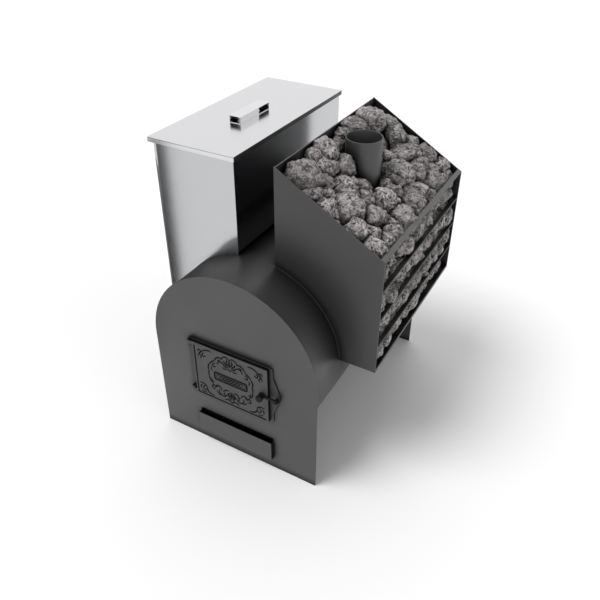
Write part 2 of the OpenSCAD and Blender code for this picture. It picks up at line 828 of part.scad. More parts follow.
// Flat bar that lies in the slope of the end plates, its outer edge over the open side
module basket_top_rail() {
    color(steel_dark) place() translate([basket_out_x, 0, basket_side_h]) rotate([0, slope_a, 0])
        block([-rail_w, inside_y0, -basket_t], [0, inside_y1, 0]);
}

// Level of the upper face of slat i, counted from the floor
function slat_h(i) = basket_low_h + i * slat_pitch;

module basket_slats() {
    color(steel_dark) place() for (i = [1:slats])
        block([basket_out_x - slat_w, inside_y0, slat_h(i) - basket_t], [basket_out_x, inside_y1, slat_h(i)]);
}

// Stones. Each one fills its own box-shaped place in the pile. It touches the box at
// the middle of each face and is drawn in by an uneven amount everywhere else.
rock_sides = 8;
rock_tilts = [-48, 0, 48];
rough_shares = [0.9, 1.1];
pole_share = 0.93;
function rock_r(i, ring, seed) =
    (ring == 1 && i % 2 == 0) ? 1 : rands(rough_shares[0], rough_shares[1], 1, seed * 31 + ring * 8 + i)[0];
function rock_point(i, ring, seed) =
    let (a = 360 * i / rock_sides, t = rock_tilts[ring], r = rock_r(i, ring, seed))
    [r * cos(a) * cos(t), r * sin(a) * cos(t), r * sin(t)];
function ring_faces(a, b, n) = [
    for (i = [0:n - 1]) each [
        [a + i, b + i, a + (i + 1) % n],
        [a + (i + 1) % n, b + i, b + (i + 1) % n]
    ]
];

// One stone in the box from corner a to corner b
module rock(a, b, seed) {
    n = rock_sides;
    half = (b - a) / 2 - [1, 1, 1] * stone_gap / 2;
    mid = (a + b) / 2;
    unit = concat(
        [[0, 0, -pole_share]],
        [for (ring = [0:len(rock_tilts) - 1], i = [0:n - 1]) rock_point(i, ring, seed)],
        [[0, 0, pole_share]]
    );
    pts = [for (p = unit) [mid[0] + p[0] * half[0], mid[1] + p[1] * half[1], mid[2] + p[2] * half[2]]];
    rings = len(rock_tilts);
    top = rings * n + 1;
    upper = top - n;
    polyhedron(pts, concat(
        [for (i = [0:n - 1]) [0, 1 + i, 1 + (i + 1) % n]],
        ring_faces(1, n + 1, n),
        ring_faces(n + 1, upper, n),
        [for (i = [0:n - 1]) [upper + i, top, upper + (i + 1) % n]]
    ));
}

// Places that split a run from y0 to y1 into uneven lengths near stone_l
length_shares = [0.8, 1.2];
function splits(y0, y1, usual, seed) =
    let (
        n = max(1, round((y1 - y0) / usual)),
        w = rands(length_shares[0], length_shares[1], n, seed),
        total = sum_to(w, n)
    )
    [for (i = [0:n]) y0 + (y1 - y0) * sum_to(w, i) / total];
function sum_to(v, n) = n <= 0 ? 0 : v[n - 1] + sum_to(v, n - 1);

// A row of stones along Y
module rock_row(x0, x1, y0, y1, z0, z1, seed, usual = stone_l) {
    ys = splits(y0, y1, usual, seed);
    for (i = [0:len(ys) - 2]) rock([x0, ys[i], z0], [x1, ys[i + 1], z1], seed * 20 + i);
}

// A column of rows between two heights, split into layers near stone_l
module rock_stack(x0, x1, y0, y1, z0, z1, seed, usual = stone_l) {
    layers = max(1, round((z1 - z0) / usual));
    h = (z1 - z0) / layers;
    for (k = [0:layers - 1]) rock_row(x0, x1, y0, y1, z0 + k * h, z0 + (k + 1) * h, seed + k, usual);
}

pile_x0 = wall_x1;
flue_side_x0 = flue_x - flue_d / 2;
flue_side_x1 = flue_x + flue_d / 2;
flue_front_y = flue_y - flue_d / 2;
flue_rear_y = flue_y + flue_d / 2;
pile_x1 = basket_out_x - basket_t;
// Divisions across the pile: two columns to the flue's far side, two beyond it
near_mid_x = (pile_x0 + flue_side_x1) / 2;
far_mid_x = (flue_side_x1 + pile_x1) / 2;
// Share of the pile's rise in the two inner columns, in front of the flue, beside it and behind it
front_shares = [1, 0];
flue_share = 0.5;
rear_shares = [1.5, 0.8];
// Share of the rise in the column beyond the flue
outer_share = 0.6;
function pile_top(x, share) = slope_h(x) + pile_rise * share;
// Lowest height at which a stone clears the arch at its inner side
function arch_top(x) = side_h + sqrt(pow(seat_r, 2) - pow(min(x, shell_r), 2));

module pile_end(y0, y1, shares, seed) {
    rock_stack(pile_x0, near_mid_x, y0, y1, arch_top(pile_x0),
        pile_top((pile_x0 + near_mid_x) / 2, shares[0]), seed);
    rock_stack(near_mid_x, flue_side_x1, y0, y1, arch_top(near_mid_x),
        pile_top((near_mid_x + flue_side_x1) / 2, shares[1]), seed + 7);
}

module stones_front() {
    color("#8d8b8a") place() pile_end(inside_y0, flue_front_y, front_shares, 3);
}

module stones_rear() {
    color("#848281") place() pile_end(flue_rear_y, inside_y1, rear_shares, 41);
}

module stones_by_flue() {
    color("#979594") place() rock_stack(pile_x0, flue_side_x0, flue_front_y, flue_rear_y,
        arch_top(pile_x0), pile_top((pile_x0 + flue_side_x0) / 2, flue_share), 23, flue_side_x0 - pile_x0);
}

outer_z0 = arch_top(flue_side_x1);
outer_z1 = pile_top((flue_side_x1 + far_mid_x) / 2, outer_share);
outer_layers = max(2, round((outer_z1 - outer_z0) / stone_l));
outer_h = (outer_z1 - outer_z0) / outer_layers;

// The outermost column has one row of stones in each gap between the slats
module slat_row(i, top, seed) {
    rock_row(far_mid_x, pile_x1, inside_y0, inside_y1, slat_h(i) + (i == 0 ? basket_t : 0), top, seed);
}

module stones_outer_low() {
    color("#807e7d") place() {
        for (k = [0:outer_layers - 2])
            rock_row(flue_side_x1, far_mid_x, inside_y0, inside_y1, outer_z0 + k * outer_h,
                outer_z0 + (k + 1) * outer_h, 61 + k);
        for (i = [0:slats - 1]) slat_row(i, slat_h(i + 1) - basket_t, 75 + i);
    }
}

module stones_outer_top() {
    color("#928f8e") place() {
        rock_row(flue_side_x1, far_mid_x, inside_y0, inside_y1, outer_z1 - outer_h, outer_z1, 87);
        slat_row(slats, slope_h(basket_out_x - rail_w) - 2 * basket_t, 93);
    }
}

front_plate();
back_plate();
firebox_shell();
hearth_plate();
fire_grate();
smoke_baffle();
ash_channel();
flue_pipe();
door_frame();
door_frame_bolts();
door_frame_nuts();
door_hinge_pins();
latch_catch();
door_leaf();
door_heat_shield();
shield_screws();
latch_lever();
latch_knob();
latch_nut();
ash_drawer_pan();
ash_drawer_front();
tank_walls();
tank_saddle();
tank_rests();
tank_drain_socket();
tank_lid();
lid_handle();
lid_rivets();
basket_front_plate();
basket_rear_plate();
basket_inner_wall();
basket_floor();
basket_top_rail();
basket_slats();
stones_front();
stones_rear();
stones_by_flue();
stones_outer_low();
stones_outer_top();
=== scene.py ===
"""Looks of a wood-fired sauna stove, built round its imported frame.

The stove's lengths are in millimetres from the front plate's middle line (x), from its front
face (y) and from the floor (z). placed() turns them into the row frame's metres.
"""

import logging
import math
from dataclasses import dataclass
from enum import Enum
from functools import cached_property

import bmesh
import bpy
import numpy as np
from mathutils import Euler, Matrix, Vector, noise


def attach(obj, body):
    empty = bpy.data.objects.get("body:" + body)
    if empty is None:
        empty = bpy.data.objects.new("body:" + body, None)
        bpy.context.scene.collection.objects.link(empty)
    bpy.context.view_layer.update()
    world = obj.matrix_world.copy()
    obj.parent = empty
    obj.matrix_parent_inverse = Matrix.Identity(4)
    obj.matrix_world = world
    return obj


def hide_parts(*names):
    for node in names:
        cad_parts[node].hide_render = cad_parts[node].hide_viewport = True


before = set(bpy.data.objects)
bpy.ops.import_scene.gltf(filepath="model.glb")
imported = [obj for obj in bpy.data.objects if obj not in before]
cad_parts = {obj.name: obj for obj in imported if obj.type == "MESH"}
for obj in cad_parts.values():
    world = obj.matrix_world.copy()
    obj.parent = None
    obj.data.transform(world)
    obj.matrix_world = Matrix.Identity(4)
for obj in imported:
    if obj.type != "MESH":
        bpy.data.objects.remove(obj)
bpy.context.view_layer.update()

LOG = logging.getLogger("sauna_stove")
MM = 0.001
MIDDLE = np.array((23.5, 401.45, 0.0))
QUARTER = math.pi / 2
OUTWARD, UP = (0.0, -1.0, 0.0), (0.0, 0.0, 1.0)
ALONG_Y, ALONG_Z = 1, 2
BOX_SIDES = [(0, 1, 3, 2), (4, 6, 7, 5), (0, 4, 5, 1), (2, 3, 7, 6), (0, 2, 6, 4), (1, 5, 7, 3)]

# The shell's round top: height of its middle and its outer radius.
ARCH = 408.0
SHELL = 297.0
# A turned solid's profile stops this far from its axis, and a ridge starts this far inside.
NEEDLE = 0.01
SUNK = 0.4

Pair = tuple[float, float]
Triple = tuple[float, float, float]
Shell = tuple[np.ndarray, list[tuple[int, ...]]]
Piece = bpy.types.Object
Material = bpy.types.Material
Socket = bpy.types.NodeSocket
Tree = bpy.types.NodeTree


class Body(Enum):
    """The moving bodies of the frame that new pieces ride on."""

    STOVE = "stove"
    DOOR = "door"
    DRAWER = "drawer"
    LID = "lid"


class Slot(Enum):
    """The record's material slots."""

    BODY_PAINT = "body_paint"
    BASKET_PAINT = "basket_paint"
    CAST_IRON = "cast_iron"
    STAINLESS = "stainless"
    SAUNA_STONE = "sauna_stone"


# ---------------------------------------------------------------- places and meshes


def placed(points: np.ndarray) -> np.ndarray:
    """Turns stove millimetres into metres in the row frame."""
    return (np.asarray(points, float) - MIDDLE) * MM


def unit(direction: Triple) -> np.ndarray:
    """A direction at length 1."""
    return np.array(direction, float) / math.sqrt(sum(v * v for v in direction))


def added(name: str, data: bpy.types.ID) -> Piece:
    """Makes an object of a mesh, a lamp or a camera and links it to the scene.

    Args:
        name: The object's name.
        data: What it shows.

    Returns:
        The new object.
    """
    piece = bpy.data.objects.new(name, data)
    bpy.context.scene.collection.objects.link(piece)
    return piece


def drawn(name: str, work: bmesh.types.BMesh) -> Piece:
    """Turns a finished working mesh into an object.

    Args:
        name: The name of the object and its mesh.
        work: The working mesh, which is freed.

    Returns:
        The new object.
    """
    mesh = bpy.data.meshes.new(name)
    work.to_mesh(mesh)
    work.free()
    return added(name, mesh)


def smoothed(mesh: bpy.types.Mesh, crease: float) -> None:
    """Shades a mesh smooth, but not over edges sharper than the crease in degrees."""
    mesh.polygons.foreach_set("use_smooth", [True] * len(mesh.polygons))
    mesh.set_sharp_from_angle(angle=math.radians(crease))


def mesh_piece(name: str, shells: list[Shell], crease: float = 40.0) -> Piece:
    """Makes one object out of closed shells.

    Args:
        name: The object's name.
        shells: Vertices in stove millimetres with their faces.
        crease: Edges sharper than this many degrees stay sharp, 0 for flat faces.

    Returns:
        The new object, its faces turned outward.
    """
    verts, faces, start = [], [], 0
    for points, polygons in shells:
        verts.append(np.asarray(points, float))
        faces.extend(tuple(i + start for i in face) for face in polygons)
        start += len(points)
    mesh = bpy.data.meshes.new(name)
    mesh.from_pydata(placed(np.vstack(verts)).tolist(), [], faces)
    work = bmesh.new()
    work.from_mesh(mesh)
    bmesh.ops.recalc_face_normals(work, faces=work.faces)
    work.to_mesh(mesh)
    work.free()
    if crease:
        smoothed(mesh, crease)
    return added(name, mesh)


def box(low: Triple, high: Triple) -> Shell:
    """A straight block between its lowest and highest corner.

    Args:
        low: Lowest x, y and z.
        high: Highest x, y and z.

    Returns:
        The block's shell.
    """
    spans = list(zip(low, high))
    return np.array([(x, y, z) for x in spans[0] for y in spans[1] for z in spans[2]]), BOX_SIDES


def sweep(path: np.ndarray, side: object, rise: object, outline: np.ndarray,
          closed: bool = False) -> Shell:
    """Carries an outline along a path.

    Args:
        path: N by 3 points.
        side: Direction of the outline's first number, one for all points or one for each.
        rise: Direction of its second number, one for all points or one for each.
        outline: M by 2 closed outline, or N by M by 2 where it changes on the way.
        closed: True where the path's end joins its start.

    Returns:
        The swept shell, with end faces unless the path is closed.
    """
    count, ring = len(path), outline.shape[-2]
    outline = np.broadcast_to(outline, (count, ring, 2))
    side, rise = (np.broadcast_to(np.asarray(way, float), (count, 3)) for way in (side, rise))
    points = (path[:, None, :] + outline[:, :, :1] * side[:, None, :]
              + outline[:, :, 1:] * rise[:, None, :]).reshape(-1, 3)
    faces = []
    for i in range(count if closed else count - 1):
        a, b = i * ring, ((i + 1) % count) * ring
        for j in range(ring):
            k = (j + 1) % ring
            faces.append((a + j, a + k, b + k, b + j))
    if not closed:
        faces.append(tuple(range(ring - 1, -1, -1)))
        faces.append(tuple(range((count - 1) * ring, count * ring)))
    return points, faces


def spaced(corners: list[Triple], step: float) -> np.ndarray:
    """Points along straight runs between corners.

    Args:
        corners: Where the runs meet.
        step: Distance between points, evened out on each run.

    Returns:
        N by 3 points.
    """
    rows = [np.array([corners[0]], float)]
    for a, b in zip(corners, corners[1:]):
        a, b = np.array(a, float), np.array(b, float)
        count = max(1, round(float(np.linalg.norm(b - a)) / step))
        rows.append(a + (b - a) * (np.arange(1, count + 1) / count)[:, None])
    return np.vstack(rows)


def turned(centre: Triple, axis: int, profile: list[Pair], sides: int = 40) -> Shell:
    """Turns a profile of (radius, distance along the axis) round an axis.

    Args:
        centre: A point on the axis.
        axis: The axis's number, ALONG_Y or ALONG_Z.
        profile: The closed outline of one half section.
        sides: Number of steps round the axis.

    Returns:
        The turned ring.
    """
    along = np.zeros(3)
    along[axis] = 1.0
    angles = np.arange(sides) * (2 * math.pi / sides)
    out = (np.cos(angles)[:, None] * np.roll(along, 1)
           + np.sin(angles)[:, None] * np.roll(along, 2))
    path = np.tile(np.array(centre, float), (sides, 1))
    return sweep(path, out, along, np.array(profile, float), closed=True)


def softened(piece: Piece, width: float, segments: int, angle: float = 30.0,
             harden: bool = False) -> Piece:
    """Breaks a piece's edges.

    Args:
        piece: The piece.
        width: Width of the broken edges in millimetres.
        segments: Faces across each of them.
        angle: Edges sharper than this many degrees are broken.
        harden: True where the faces beside them keep their flat shading.

    Returns:
        The piece.
    """
    soft = piece.modifiers.new("broken_edges", "BEVEL")
    soft.width, soft.segments, soft.harden_normals = width * MM, segments, harden
    soft.limit_method, soft.angle_limit = "ANGLE", math.radians(angle)
    return piece


def settled(piece: Piece) -> Piece:
    """Applies a piece's modifiers to its mesh.

    Args:
        piece: The piece.

    Returns:
        The piece.
    """
    bpy.context.view_layer.update()
    graph = bpy.context.evaluated_depsgraph_get()
    done = bpy.data.meshes.new_from_object(piece.evaluated_get(graph))
    piece.modifiers.clear()
    piece.data = done
    return piece


def carved(piece: Piece, cutters: list[Piece]) -> Piece:
    """Cuts the cutters out of a piece and removes them.

    Args:
        piece: The piece.
        cutters: What is cut away.

    Returns:
        The piece.
    """
    for cutter in cutters:
        cut = piece.modifiers.new("cut", "BOOLEAN")
        cut.operation, cut.solver, cut.object = "DIFFERENCE", "EXACT", cutter
    settled(piece)
    for cutter in cutters:
        bpy.data.objects.remove(cutter)
    return piece


# ---------------------------------------------------------------- shader wiring


def toned(colour: Triple, factor: float = 1.0) -> tuple[float, ...]:
    """A colour as the shader wants it.

    Args:
        colour: Red, green and blue from 0 to 255.
        factor: How much lighter or darker it is made.

    Returns:
        The linear colour with its alpha.
    """
    shares = [value * factor / 255.0 for value in colour]
    return (*(s / 12.92 if s <= 0.04045 else ((s + 0.055) / 1.055) ** 2.4 for s in shares), 1.0)


class Wiring:
    """Adds nodes to one tree and links them."""

    spacing: float = 200.0

    def __init__(self, tree: Tree) -> None:
        """Keeps the tree and counts columns for a readable layout."""
        self.tree = tree
        self.column = 0

    def put(self, value: object, into: Socket) -> None:
        """Links a socket to an input, or writes a constant there.

        Args:
            value: The socket or the constant.
            into: The input.
        """
        if isinstance(value, bpy.types.NodeSocket):
            self.tree.links.new(value, into)
        else:
            into.default_value = value

    def add(self, kind: str, inputs: dict | None = None, **settings: object) -> bpy.types.Node:
        """Adds a node.

        Args:
            kind: The node's type name.
            inputs: A constant or a socket for each of its inputs, by name or by number.
            settings: Its properties.

        Returns:
            The new node.
        """
        node = self.tree.nodes.new(kind)
        node.location = (self.column * self.spacing, 0)
        self.column += 1
        for key, value in settings.items():
            setattr(node, key, value)
        for key, value in (inputs or {}).items():
            self.put(value, node.inputs[key])
        return node

    def math(self, operation: str, first: object, second: object = 0.0,
             clamp: bool = False) -> Socket:
        """A Math node on two values, each a number or a socket."""
        return self.add("ShaderNodeMath", {0: first, 1: second}, operation=operation,
                        use_clamp=clamp).outputs[0]

    def mix(self, share: object, first: object, second: object) -> Socket:
        """A colour mix. Share, first and second are constants or sockets."""
        return self.add("ShaderNodeMix", {0: share, 6: first, 7: second},
                        data_type="RGBA").outputs[2]

    def over(self, base: Socket, mask: Socket, colour: Triple, share: float,
             factor: float = 1.0) -> Socket:
        """Lays a colour, toned by a factor, over a base where the mask is, at a share."""
        return self.mix(self.math("MULTIPLY", mask, share), base, toned(colour, factor))

    def between(self, mask: Socket, colour: Triple, low: float, high: float) -> Socket:
        """A colour that drifts between two tones of itself with a mask."""
        return self.mix(mask, toned(colour, low), toned(colour, high))

    def about(self, mask: Socket, middle: float, drift: float, low: float = 0.0,
              high: float = 1.0) -> Socket:
        """A value that drifts about its middle as the mask goes from low to high."""
        return self.spread(mask, low, high, middle - drift, middle + drift)

    def spread(self, value: Socket, low: object, high: object, new_low: float = 0.0,
               new_high: float = 1.0) -> Socket:
        """Maps a value's range onto another one, clamped."""
        ends = {"From Min": low, "From Max": high, "To Min": new_low, "To Max": new_high}
        return self.add("ShaderNodeMapRange", {"Value": value, **ends}).outputs["Result"]

    def noise(self, scale: object, detail: object = 2.0, curl: object = 0.0,
              roughness: float = 0.5, place: Socket | None = None) -> Socket:
        """A noise pattern over the object.

        Args:
            scale: Its scale, a number or a socket.
            detail: Its detail, a number or a socket.
            curl: Its distortion, a number or a socket.
            roughness: Its roughness.
            place: Where it is read, or None for the object's own place.

        Returns:
            The pattern's value, about 0.5.
        """
        if place is None:
            place = self.add("ShaderNodeTexCoord").outputs["Object"]
        return self.add("ShaderNodeTexNoise", {
            "Vector": place, "Scale": scale, "Detail": detail, "Distortion": curl,
            "Roughness": roughness}).outputs["Fac"]

    def effect(self, tree: Tree, **values: object) -> bpy.types.bpy_prop_collection:
        """Places a shared effect with its own values and returns its outputs."""
        return self.add("ShaderNodeGroup", values, node_tree=tree).outputs


class Group(Wiring):
    """The wiring of a shared effect: a node group with named inputs and outputs."""

    def __init__(self, name: str, outputs: tuple[str, ...], **usual: object) -> None:
        """Opens the group.

        Args:
            name: The group's name.
            outputs: The names of its outputs.
            usual: The usual value of each input, a number or a vector.
        """
        super().__init__(bpy.data.node_groups.new(name, "ShaderNodeTree"))
        face = self.tree.interface
        for label, value in usual.items():
            kind = "NodeSocketFloat" if isinstance(value, float) else "NodeSocketVector"
            face.new_socket(name=label, in_out="INPUT", socket_type=kind).default_value = value
        for label in outputs:
            face.new_socket(name=label, in_out="OUTPUT", socket_type="NodeSocketFloat")
        self.given = self.add("NodeGroupInput").outputs
        self.out = self.add("NodeGroupOutput").inputs

    def giving(self, **results: Socket) -> Tree:
        """Links the results to the group's outputs.

        Args:
            results: The socket for each output.

        Returns:
            The finished group.
        """
        for label, socket in results.items():
            self.put(socket, self.out[label])
        return self.tree


class Shading(Wiring):
    """The wiring of one material round its Principled shader."""

    def __init__(self, material: Material) -> None:
        """Opens the material.

        Args:
            material: The new material.
        """
        material.use_nodes = True
        super().__init__(material.node_tree)
        self.shader = material.node_tree.nodes["Principled BSDF"]

    def set(self, **values: object) -> None:
        """Gives the shader's inputs their values, underscores standing for spaces."""
        for key, value in values.items():
            self.put(value, self.shader.inputs[key.replace("_", " ")])

    def bump(self, height: Socket, strength: float, depth: float) -> None:
        """Feeds a height into the shader's normal, its depth in metres."""
        bump = {"Strength": strength, "Distance": depth, "Height": height}
        self.set(Normal=self.add("ShaderNodeBump", bump).outputs["Normal"])


class Effects:
    """The shader effects that the finishes share, each built once.

    A range says which values of a noise or a turn become 0 and 1 in a mask, and coarse is the
    share of the grit's scale at which it clumps.
    """

    coarse: float = 0.22
    speckled: Pair = (0.55, 0.72)
    lined: Pair = (0.35, 0.65)
    edge_turn: Pair = (0.995, 0.9)
    patchy: tuple[float, ...] = (0.38, 0.6, 0.15, 1.0)

    @cached_property
    def mottle(self) -> Tree:
        """Soft uneven patches: a mask from 0 to 1.

        Returns:
            The effect's group.
        """
        group = Group("mottle", ("Mask",), Scale=8.0, Detail=4.0, Curl=0.0, Low=0.35, High=0.65)
        given = group.given
        patches = group.noise(given["Scale"], given["Detail"], given["Curl"])
        return group.giving(Mask=group.spread(patches, given["Low"], given["High"]))

    @cached_property
    def grit(self) -> Tree:
        """Fine grainy surface: a height and a speckle mask.

        Returns:
            The effect's group.
        """
        group = Group("grit", ("Height", "Speckle"), Scale=600.0, Clump=0.4)
        given = group.given
        fine = group.noise(given["Scale"], detail=3.0)
        coarse = group.noise(group.math("MULTIPLY", given["Scale"], self.coarse))
        clumped = group.math("MULTIPLY", coarse, given["Clump"])
        return group.giving(Height=group.math("ADD", fine, clumped),
                            Speckle=group.spread(fine, *self.speckled))

    @cached_property
    def grain(self) -> Tree:
        """Brushed metal: long fine lines along one direction, as a height and a mask.

        Returns:
            The effect's group.
        """
        group = Group("grain", ("Height", "Mask"), Stretch=(1.0, 40.0, 40.0), Scale=30.0)
        place = group.add("ShaderNodeTexCoord").outputs["Object"]
        stretched = group.add("ShaderNodeVectorMath", {0: place, 1: group.given["Stretch"]},
                              operation="MULTIPLY").outputs["Vector"]
        lines = group.noise(group.given["Scale"], detail=5.0, roughness=0.65, place=stretched)
        return group.giving(Height=lines, Mask=group.spread(lines, *self.lined))

    @cached_property
    def crevice_shade(self) -> Tree:
        """Painted shade: 1 in the open, falling to 0 in corners and gaps where less light reaches.

        Returns:
            The effect's group.
        """
        group = Group("crevice_shade", ("Open",), Reach=0.01, Power=1.0)
        shade = group.add("ShaderNodeAmbientOcclusion", {"Distance": group.given["Reach"]},
                          samples=8)
        return group.giving(Open=group.math("POWER", shade.outputs["AO"], group.given["Power"]))

    @cached_property
    def rub_glint(self) -> Tree:
        """Worn edges with a painted highlight: a mask that is 1 where an edge is rubbed and lit.

        Returns:
            The effect's group.
        """
        group = Group("rub_glint", ("Mask",), Width=0.0015, Scale=60.0)
        rounded = group.add("ShaderNodeBevel", {"Radius": group.given["Width"]}, samples=3)
        flat = group.add("ShaderNodeNewGeometry")
        turn = group.add("ShaderNodeVectorMath", {
            0: rounded.outputs["Normal"], 1: flat.outputs["Normal"]}, operation="DOT_PRODUCT")
        edge = group.spread(turn.outputs["Value"], *self.edge_turn)
        patchy = group.spread(group.noise(group.given["Scale"], detail=4.0), *self.patchy)
        return group.giving(Mask=group.math("MULTIPLY", edge, patchy, clamp=True))

    @cached_property
    def wisp(self) -> Tree:
        """Thin curling lines, as a mask that is 1 on the lines.

        Returns:
            The effect's group.
        """
        group = Group("wisp", ("Mask",), Scale=70.0, Curl=2.0, Width=0.05)
        given = group.given
        lines = group.noise(given["Scale"], detail=2.5, curl=given["Curl"])
        off = group.math("ABSOLUTE", group.math("SUBTRACT", lines, 0.5))
        return group.giving(Mask=group.spread(off, 0.0, given["Width"], 1.0, 0.0))


# ---------------------------------------------------------------- finishes


@dataclass(frozen=True)
class Finish:
    """One material of the stove. A subclass wires its looks."""

    name: str

    def build(self, effects: Effects) -> Material:
        """Makes the material.

        Args:
            effects: The shared effects.

        Returns:
            The new material.
        """
        material = bpy.data.materials.new(self.name)
        self.wire(Shading(material), effects)
        return material

    def wire(self, wires: Shading, effects: Effects) -> None:
        """Wires the looks onto the Principled shader."""
        raise NotImplementedError

    @staticmethod
    def patches(wires: Shading, effects: Effects, scale: float, detail: float,
                low: float = 0.3, high: float = 0.7, curl: float = 0.0) -> Socket:
        """The mask of soft uneven patches over the surface."""
        return wires.effect(effects.mottle, Scale=scale, Detail=detail, Curl=curl,
                            Low=low, High=high)["Mask"]


@dataclass(frozen=True)
class StovePaint(Finish):
    """Heat-resistant satin paint on sheet steel, its gloss lying on top as a coat.

    Tones are factors on the colour, and the speckle is a share and a tone. Reach and shade set how
    far and how strongly shade is painted into corners and gaps.
    """

    colour: Triple = (40.0, 40.0, 41.0)
    tones: Pair = (0.95, 1.05)
    speckle: Pair = (0.12, 1.35)
    # Colour of the lighter edges: worn paint with a painted highlight.
    worn: Triple = (70.0, 69.0, 68.0)
    wear_glint: float = 0.45
    # Colour factor of the painted shade in the darkest corners.
    shade_tone: float = 0.3
    under: float = 0.9
    roughness: float = 0.4
    coat_index: float = 1.76
    coat_drift: Pair = (0.94, 1.0)
    grit_scale: float = 900.0
    grit_strength: float = 0.35
    grit_depth: float = 0.00006
    reach: float = 0.032
    shade: float = 1.8

    def wire(self, wires: Shading, effects: Effects) -> None:
        """Wires drifting tone, fine orange peel, rubbed edges with a painted highlight, and painted
        shade in corners, where the colour darkens and the gloss coat thins.

        Args:
            wires: The material's wiring.
            effects: The shared effects.
        """
        patches = self.patches(wires, effects, scale=5.0, detail=5.0)
        grit = wires.effect(effects.grit, Scale=self.grit_scale, Clump=0.5)
        rub_glint = wires.effect(effects.rub_glint, Width=0.0012, Scale=45.0)["Mask"]
        unshaded = wires.effect(effects.crevice_shade, Reach=self.reach, Power=self.shade)["Open"]
        tone = wires.between(patches, self.colour, *self.tones)
        speckled = wires.over(tone, grit["Speckle"], self.colour, *self.speckle)
        # Lighter edges: worn paint, and a painted highlight.
        worn = wires.over(speckled, rub_glint, self.worn, self.wear_glint)
        drift = wires.spread(patches, 0.0, 1.0, *self.coat_drift)
        # Painted shade: the colour darkens and the gloss coat thins in corners and gaps.
        wires.set(Base_Color=wires.mix(unshaded, toned(self.colour, self.shade_tone), worn),
                  Roughness=self.under, Specular_IOR_Level=0.0, Coat_IOR=self.coat_index,
                  Coat_Roughness=self.roughness,
                  Coat_Weight=wires.math("MULTIPLY", unshaded, drift, clamp=True))
        wires.bump(grit["Height"], self.grit_strength, self.grit_depth)


@dataclass(frozen=True)
class CastPaint(Finish):
    """Painted sand casting, grittier than sheet, with painted shade in its corners.

    The lighter edges, worn and with a painted highlight, are a share and a tone, the sand a bump's
    strength and depth.
    """

    colour: Triple = (62.0, 62.0, 63.0)
    tones: Pair = (0.93, 1.07)
    # Colour of the painted shade in the corners.
    shade_colour: Triple = (17.0, 17.0, 17.0)
    wear_glint: Pair = (0.3, 1.5)
    reach: float = 0.006
    shade: float = 1.6
    roughness: float = 0.5
    drift: float = 0.08
    sand: Pair = (0.6, 0.00018)

    def wire(self, wires: Shading, effects: Effects) -> None:
        """Wires the casting's colour, painted shade in its corners and its sandy skin.

        Args:
            wires: The material's wiring.
            effects: The shared effects.
        """
        patches = self.patches(wires, effects, scale=22.0, detail=6.0)
        grit = wires.effect(effects.grit, Scale=700.0, Clump=0.9)["Height"]
        shade = wires.effect(effects.crevice_shade, Reach=self.reach, Power=self.shade)["Open"]
        rub_glint = wires.effect(effects.rub_glint, Width=0.0014, Scale=70.0)["Mask"]
        tone = wires.between(patches, self.colour, *self.tones)
        # Painted shade: corners darkened towards the shade colour.
        shaded = wires.mix(shade, toned(self.shade_colour), tone)
        # Lighter edges: worn, and with a painted highlight.
        wires.set(Base_Color=wires.over(shaded, rub_glint, self.colour, *self.wear_glint),
                  Roughness=wires.about(grit, self.roughness, self.drift, 0.4, 1.2))
        wires.bump(grit, *self.sand)


@dataclass(frozen=True)
class BareSteel(Finish):
    """Unpainted sheet, straw and blue tinted by heat.

    The lines are a bump's strength and depth.
    """

    colour: Triple = (128.0, 126.0, 124.0)
    tint: Triple = (112.0, 98.0, 84.0)
    stretch: Triple = (1.0, 30.0, 30.0)
    roughness: Pair = (0.38, 0.55)
    lines: Pair = (0.3, 0.00008)

    def wire(self, wires: Shading, effects: Effects) -> None:
        """Wires the mill grain and the heat tint.

        Args:
            wires: The material's wiring.
            effects: The shared effects.
        """
        patches = self.patches(wires, effects, scale=9.0, detail=6.0, low=0.35)
        grain = wires.effect(effects.grain, Stretch=self.stretch, Scale=26.0)
        wires.set(Base_Color=wires.mix(patches, toned(self.colour), toned(self.tint)),
                  Metallic=1.0, Roughness=wires.spread(grain["Mask"], 0.0, 1.0, *self.roughness))
        wires.bump(grain["Height"], *self.lines)


@dataclass(frozen=True)
class StainlessSheet(Finish):
    """Stainless sheet with a brushed grain along one direction."""

    colour: Triple = (206.0, 207.0, 209.0)
    tones: Pair = (0.975, 1.0)
    roughness: float = 0.28
    drift: float = 0.03
    stretch: Triple = (1.0, 60.0, 60.0)
    grain: float = 0.25
    grain_depth: float = 0.00004
    smear: float = 0.05

    def wire(self, wires: Shading, effects: Effects) -> None:
        """Wires the grain, a faint drift of tone and hand-worn patches of gloss.

        Args:
            wires: The material's wiring.
            effects: The shared effects.
        """
        grain = wires.effect(effects.grain, Stretch=self.stretch, Scale=18.0)
        lines = wires.about(grain["Mask"], self.roughness, self.drift)
        patches = self.patches(wires, effects, scale=3.5, detail=3.0)
        worn = wires.math("MULTIPLY", patches, self.smear)
        wires.set(Base_Color=wires.between(grain["Mask"], self.colour, *self.tones),
                  Metallic=1.0, Roughness=wires.math("ADD", lines, worn))
        wires.bump(grain["Height"], self.grain, self.grain_depth)


